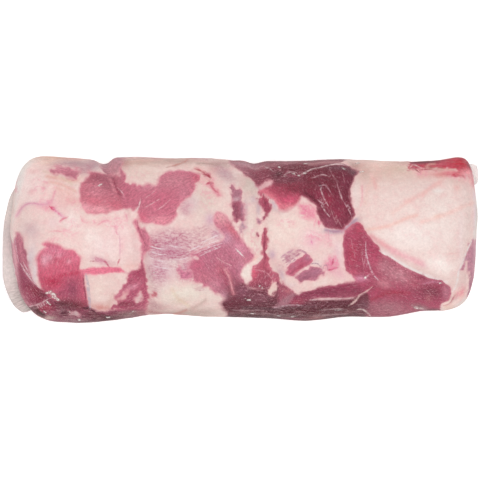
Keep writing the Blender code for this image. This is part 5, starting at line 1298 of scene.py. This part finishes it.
# Veins, clefts and sinews: fine lines, broken where the tissue covers them
LINE_FRAY_MM = 1.0
LINE_FRAY_DEPTH = 1.4
LINE_GAP_MM = 3.2
fray = add(tree, "TexNoise", {"Vector": in_mm, "Scale": 1 / LINE_FRAY_MM, "Detail": 2.0})
fray = add(tree, "Math", {0: fray, 1: -0.5}, operation="ADD")
gaps = add(tree, "TexNoise", {"Vector": in_mm, "Scale": 1 / LINE_GAP_MM, "Detail": 2.0})
gaps = add(tree, "MapRange", {0: gaps, 1: 0.38, 2: 0.56, 3: 0.25, 4: 0.85})
for name in ("vein", "sinew"):
    away = add(tree, "Math", {0: kept[name + "_side"]}, operation="ABSOLUTE")
    inside = add(tree, "Math", {0: kept[name + "_width"], 1: away}, operation="SUBTRACT")
    inside = add(tree, "Math", {0: fray, 1: LINE_FRAY_DEPTH, 2: inside}, operation="MULTIPLY_ADD")
    shown = add(tree, "MapRange", {0: inside, 1: -0.6, 2: 0.4}, **SMOOTH)
    shown = add(tree, "Math", {0: shown, 1: gaps}, operation="MULTIPLY")
    colour = add(tree, "Mix", {0: shown, 6: colour, 7: kept[name + "_colour"]}, **COLOURS)

# Fine ridges of fibre and grains of fat, and the film's own slight waves in the gloss
WAVE_PER_MM = (0.09, 0.25, 0.25)
RIDGE_HEIGHT = 0.00022
WAVE_DEPTH = 0.0006
ridge = add(tree, "Math", {0: fibre, 1: lean_share}, operation="MULTIPLY")
ridge = add(tree, "Math", {0: ridge, 1: 0.5, 2: mottle}, operation="MULTIPLY_ADD")
surface = add(tree, "Bump", {"Height": ridge, "Distance": RIDGE_HEIGHT, "Strength": 1.0})
wave_vector = add(tree, "VectorMath", {0: in_mm, 1: WAVE_PER_MM}, operation="MULTIPLY")
film_wave = add(tree, "TexNoise", {"Vector": wave_vector, "Scale": 1.0, "Detail": 2.0})
film_surface = add(tree, "Bump", {"Height": film_wave, "Distance": WAVE_DEPTH, "Strength": 1.0})
roughness = add(tree, "MapRange", {0: lean_share, 3: 0.54, 4: 0.44})
fill(skin, {
    "Base Color": colour, "Normal": surface, "Coat Normal": film_surface, "Roughness": roughness,
    "IOR": 1.42, "Specular IOR Level": 0.16, "Coat Weight": 0.16, "Coat Roughness": 0.14,
})
meat_mesh.materials.append(pork)
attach(pork_shoulder, "root")
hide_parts("sealed_bag")


# The vacuum bag
# Clear polythene film, drawn tight over the meat and gathered into fine lengthwise pleats where
# it turns down over the long sides.

# How finely the film is divided, and how far in metres it stays off the table
FILM_ALONG = 200
FILM_ACROSS = 60
FILM_UP = 40
FILM_CLEARANCE = 0.00008
# Pleats, in mm: where they start and are whole, their height, and their length and spacing. The
# film has none, and lies a little lower than the form, on top and where its normal points down.
PLEATED = (58, 76)
PLEAT_HEIGHT = 0.22
PLEAT_SIZE = (26.0, 2.6)
PLEAT_SEED = (4.0, 1.0, 6.0)
FILM_SINK = 0.08
OFF_UNDERSIDE = (-0.9, -0.5)
film_mesh, film_corners = divided_box("bag_film", FILM_ALONG, FILM_ACROSS, FILM_UP)
film = BagForm(film_corners)
film_normals = place_points(film_mesh, film.points)
on_flank = smooth_step(*PLEATED, np.abs(film.wrap[:, 1])) * smooth_step(*OFF_UNDERSIDE, film_normals[:, 2])
pleat_places = np.column_stack((film.wrap / PLEAT_SIZE, np.zeros(len(film.wrap))))
pleats = np.abs(noise_at(pleat_places, 1.0, PLEAT_SEED))
film_rise = PLEAT_HEIGHT * pleats * on_flank - FILM_SINK * (1 - on_flank)
film_points = film.points + film_normals * (0.001 * film_rise)[:, None]
film_points[:, 2] = np.maximum(film_points[:, 2], FILM_CLEARANCE)
place_points(film_mesh, film_points)
keep_value(film_mesh, "flank", on_flank)
keep_value(film_mesh, "wrap", np.column_stack((film.wrap, 1000 * film.points[:, 2])))

# Painted highlights: white glints painted into the film at fixed places: centre, reach along and across,
# turn in degrees
painted_glints = np.zeros(len(film.wrap))
for spot in [
    (-164, -45.2, 4.2, 1.7, 20), (-159.8, -48.6, 3.0, 4.4, 16), (-156.6, -52, 1.8, 2.6, 30),
    (-154.6, -52.8, 1.1, 0.9), (-166.4, -55.8, 1.5, 1.0), (-164, -58.4, 1.6, 1.0),
    (-120, 45.6, 3.0, 1.2, 25), (-1, -10, 3.2, 1.1, -38), (34, 62.3, 1.8, 1.1), (39.5, 55, 1.8, 1.1, 20),
    (46, 56.5, 2.2, 1.1, 30), (50.5, 54.8, 1.6, 1.0), (56, 56.6, 2.6, 0.9, 20), (7.8, -52, 2.6, 1.2),
    (108, -32.5, 2.2, 1.6, 20), (173.5, -39, 2.4, 1.0), (-73, -28, 1.6, 1.0), (105, 58.6, 3.2, 1.4),
    (19, -42, 0.9, 0.7), (17, -40, 0.7, 0.7), (-138, -69.5, 2.2, 1.0), (-113, -67, 2.6, 1.0),
    (4, -51, 1.2, 0.9), (152, -57.6, 4.0, 0.9, -20), (12, -64, 5.0, 0.7, 4), (34, -66, 4.0, 0.7, -4),
    (46, -66.6, 5.0, 0.8, 6), (84, -60.4, 6.0, 0.8, 2), (70, -60, 3.0, 0.7), (102, 67.4, 3.0, 1.0),
    (90, 61, 4.0, 0.8, -30), (-199.6, -17, 1.0, 2.0), (-92, -62.6, 4.0, 0.8, 20), (-146, -64, 2.0, 0.8, 10),
    (-168, -63, 2.4, 0.8, -30), (58, 65, 5.0, 0.7, 8),
]:
    painted_glints = np.maximum(painted_glints, np.exp(-from_spot(film.wrap, *spot)**2))
keep_value(film_mesh, "glint", painted_glints)
bag_film = in_scene("bag_film", film_mesh)

# Polythene film: colourless and thin, so it shows only as a faint pale haze. Along its pleats that haze is
# a painted highlight of the creased film, and the small white glints at fixed places are painted highlights
# too.
clear_film, tree, sheet = new_material("polythene_film")
PLEAT_PER_MM = (0.05, 0.55, 0.10)
GLINT_MM = 1.3
LEAST_HAZE = 0.015
film_place = add(tree, "Attribute", {}, output="Vector", attribute_name="wrap")
flank_share = add(tree, "Attribute", {}, output="Fac", attribute_name="flank")
painted_glint_reach = add(tree, "Attribute", {}, output="Fac", attribute_name="glint")
pleat_vector = add(tree, "VectorMath", {0: film_place, 1: PLEAT_PER_MM}, operation="MULTIPLY")
pleat = add(tree, "TexNoise", {"Vector": pleat_vector, "Scale": 1.0, "Detail": 4.0, "Roughness": 0.7})
# Painted highlight: pale lengthwise streaks along the pleats down the sides
pleat_highlights = add(tree, "MapRange", {0: pleat, 1: 0.52, 2: 0.62, 3: 0.0, 4: 0.19}, **SMOOTH)
pleat_highlights = add(tree, "Math", {0: pleat_highlights, 1: flank_share}, operation="MULTIPLY")
glint_break = add(tree, "TexNoise", {"Vector": film_place, "Scale": 1 / GLINT_MM, "Detail": 2.0})
glint_break = add(tree, "MapRange", {0: glint_break, 1: 0.37, 2: 0.54, 3: 0.0, 4: 0.9}, **SMOOTH)
# Painted highlights: the white glints, broken up by fine noise
painted_glint_haze = add(tree, "MapRange", {0: painted_glint_reach, 1: 0.35, 2: 0.8}, **SMOOTH)
painted_glint_haze = add(tree, "Math", {0: painted_glint_haze, 1: glint_break}, operation="MULTIPLY")
# The film's faint haze, with the painted highlights of pleats and glints on it
haze = add(tree, "Math", {0: pleat_highlights, 1: painted_glint_haze}, operation="MAXIMUM")
haze = add(tree, "Math", {0: haze, 1: LEAST_HAZE}, operation="ADD")
fill(sheet, {"Alpha": haze, "Base Color": opaque("EADCD8"), "Roughness": 0.22, "IOR": 1.5})
film_mesh.materials.append(clear_film)
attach(bag_film, "root")
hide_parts("sealed_bag")


# Spare film past the seals
# The bag's mouth and tail, left over beyond the welds: two layers of the same film. They wrap the
# left end as a skirt, gathered into pleats towards the front, and stand off the right end as an ear.

# Their outer edges in metres, seen from above
SKIRT_LEFT = [(-0.1925, 0.0480), (-0.1985, 0.0370), (-0.2015, 0.0255), (-0.2037, 0.0140),
              (-0.2046, -0.0005), (-0.2048, -0.0190), (-0.2044, -0.0330), (-0.2010, -0.0450),
              (-0.1955, -0.0558), (-0.1885, -0.0618), (-0.1830, -0.0615)]
EAR_RIGHT = [(0.1950, 0.0655), (0.2020, 0.0652), (0.2048, 0.0630), (0.2054, 0.0560),
             (0.2048, 0.0495), (0.2000, 0.0470)]
# How deep inside the log they start, how much narrower they are there, and their level and thickness
FILM_ROOT = 0.016
ROOT_NARROWING = 0.12
FILM_LEVEL = 0.045
DOUBLED_FILM = 0.0009
SEGMENTS_OUT = 20
WAVE_HEIGHT = 0.0016
# Crinkles along the edge and out from it, the shares of the edge over which it gets gathered, and
# its length in mm, by which the ribs are spaced
CRINKLES = (60, 3)
CRINKLE_SEED = (7.0, 3.0, 2.0)
CRINKLE_HEIGHT = 0.0004
LEAST_CRINKLED = 0.3
GATHERED = (0.55, 0.78)
EDGE_MM = 125.0

# Doubled polythene film: stiff and finely creased, so it looks greyish white and half clear, ribbed where
# it is gathered and cloudy where it lies flat, with painted highlights on its raised crinkles
spare_film_haze, tree, sheet = new_material("doubled_polythene_film")
RIBS_PER_MM = (0.75, 0.16, 1.0)
SPECKS_PER_MM = (0.30, 0.30, 1.0)
edge_place = add(tree, "Attribute", {}, output="Vector", attribute_name="ribs")
doubled = add(tree, "Attribute", {}, output="Fac", attribute_name="layers")
gathered = add(tree, "Attribute", {}, output="Fac", attribute_name="gathered")
stretched = add(tree, "VectorMath", {0: edge_place, 1: RIBS_PER_MM}, operation="MULTIPLY")
crinkle = add(tree, "TexNoise", {"Vector": stretched, "Scale": 1.0, "Detail": 3.0, "Roughness": 0.6})
even = add(tree, "VectorMath", {0: edge_place, 1: SPECKS_PER_MM}, operation="MULTIPLY")
specks = add(tree, "TexNoise", {"Vector": even, "Scale": 1.0, "Detail": 5.0, "Roughness": 0.75})
crinkle = add(tree, "Mix", {0: gathered, 2: specks, 3: crinkle})
# Lighter where the crinkle pattern is high, as the bump raises it: partly the film's own whiter creases and
# specks, partly painted highlight on the raised crinkles
whiteness_and_sheen = add(tree, "MapRange", {0: crinkle, 1: 0.30, 2: 0.70})
film_shade = add(tree, "Mix", {0: gathered, 6: opaque("DED2CE"), 7: opaque("BCADA7")}, **COLOURS)
film_colour = add(tree, "Mix", {0: whiteness_and_sheen, 6: film_shade, 7: opaque("E4D8D4")}, **COLOURS)
clearness = add(tree, "MapRange", {0: crinkle, 1: 0.36, 2: 0.70, 3: 0.66, 4: 0.90})
clearness = add(tree, "Math", {0: clearness, 1: doubled}, operation="MULTIPLY")
crinkle_bump = add(tree, "Bump", {"Height": crinkle, "Distance": CRINKLE_HEIGHT / 2, "Strength": 1.0})
fill(sheet, {
    "Base Color": film_colour, "Alpha": clearness, "Normal": crinkle_bump, "Roughness": 0.24, "IOR": 1.5,
})

for name, outer_edge, end, waves, segments, layers in [
    ("seal_skirt", SKIRT_LEFT, -1.0, 5, 150, 1.0), ("film_ear", EAR_RIGHT, 1.0, 1, 36, 0.5),
]:
    bm = bmesh.new()
    bmesh.ops.create_grid(bm, x_segments=segments, y_segments=SEGMENTS_OUT, size=1.0)
    steps = len(outer_edge) - 1
    along = np.array([0.5 + 0.5 * vertex.co.x for vertex in bm.verts])
    out = np.array([0.5 + 0.5 * vertex.co.y for vertex in bm.verts])
    edge_x = through_points([(i / steps, x) for i, (x, y) in enumerate(outer_edge)], along)
    edge_y = through_points([(i / steps, y) for i, (x, y) in enumerate(outer_edge)], along)
    across = np.column_stack((along * CRINKLES[0], out * CRINKLES[1], np.zeros(len(out))))
    crinkles = CRINKLE_HEIGHT * np.abs(noise_at(across, 1.0, CRINKLE_SEED))
    drawn_in = smooth_step(*GATHERED, along)
    wave = WAVE_HEIGHT * np.sin(2 * np.pi * waves * along)
    level = FILM_LEVEL + out * (wave + (LEAST_CRINKLED + (1 - LEAST_CRINKLED) * drawn_in) * crinkles)
    for vertex, x, y, z, inwards in zip(bm.verts, edge_x, edge_y, level, 1 - out):
        vertex.co = (x - end * FILM_ROOT * inwards + BOX_SHIFT[0],
                     y * (1 - ROOT_NARROWING * inwards) + BOX_SHIFT[1], z)
    bmesh.ops.recalc_face_normals(bm, faces=bm.faces)
    mesh = bpy.data.meshes.new(name)
    bm.to_mesh(mesh)
    bm.free()
    mesh.shade_smooth()
    edge_places = np.column_stack((along * EDGE_MM, out * 1000 * FILM_ROOT, np.full(len(out), end)))
    keep_value(mesh, "ribs", edge_places)
    keep_value(mesh, "layers", np.full(len(out), layers))
    keep_value(mesh, "gathered", drawn_in)
    mesh.materials.append(spare_film_haze)
    spare_film = in_scene(name, mesh)
    wall = spare_film.modifiers.new("doubled_film", "SOLIDIFY")
    wall.thickness = DOUBLED_FILM
    wall.offset = 0.0
    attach(spare_film, "root")
    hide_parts("sealed_bag")


# Table, light and camera
# A light table of opal acrylic, which glows a little so that the meat hardly throws a shadow on
# it, a wide softbox straight above and a paler one to each side, and a camera that looks straight
# down from far off.
TABLE_HALF = 3.0
TABLE_GAP = 0.0002
bm = bmesh.new()
bmesh.ops.create_grid(bm, x_segments=1, y_segments=1, size=TABLE_HALF)
bmesh.ops.translate(bm, verts=bm.verts, vec=(0.0, 0.0, -TABLE_GAP))
table_mesh = bpy.data.meshes.new("table_top")
bm.to_mesh(table_mesh)
bm.free()
table_top = in_scene("table_top", table_mesh)
opal_acrylic, _, acrylic = new_material("opal_acrylic")
fill(acrylic, {"Base Color": opaque("FDFDFD"), "Roughness": 0.8, "Emission Color": opaque("FFFFFF"),
               "Emission Strength": 0.30})
table_mesh.materials.append(opal_acrylic)
table_top.visible_glossy = False

for name, place_m, size_m, watts, mirrored in [
    ("softbox_above", (0.0, -0.04, 1.9), (1.6, 1.2), 30.0, False),
    ("softbox_back", (0.0, 1.5, 0.9), (1.8, 0.5), 2.6, True),
    ("softbox_front", (0.0, -1.5, 0.9), (1.8, 0.5), 2.6, True),
]:
    lamp = bpy.data.lights.new(name, "AREA")
    lamp.shape = "RECTANGLE"
    lamp.size = size_m[0]
    lamp.size_y = size_m[1]
    lamp.energy = watts
    lamp_object = in_scene(name, lamp)
    lamp_object.location = place_m
    lamp_object.visible_glossy = mirrored
    lamp_object.rotation_euler = (-Vector(place_m)).to_track_quat("-Z", "Y").to_euler()

room = bpy.data.worlds.new("studio_room")
room.use_nodes = True
fill(room.node_tree.nodes["Background"], {"Color": opaque("FFFFFF"), "Strength": 0.38})
bpy.context.scene.world = room
bpy.context.scene.view_settings.view_transform = "Standard"

CAMERA_HEIGHT = 10.0
FIELD_WIDTH = 0.4143
SENSOR_WIDTH = 36.0
camera = bpy.data.cameras.new("camera")
camera.sensor_width = SENSOR_WIDTH
camera.lens = SENSOR_WIDTH * CAMERA_HEIGHT / FIELD_WIDTH
camera.clip_end = 50.0
camera_object = in_scene("camera", camera)
camera_object.location = (BOX_SHIFT[0], BOX_SHIFT[1], CAMERA_HEIGHT + WIDEST_LEVEL)
bpy.context.scene.camera = camera_object
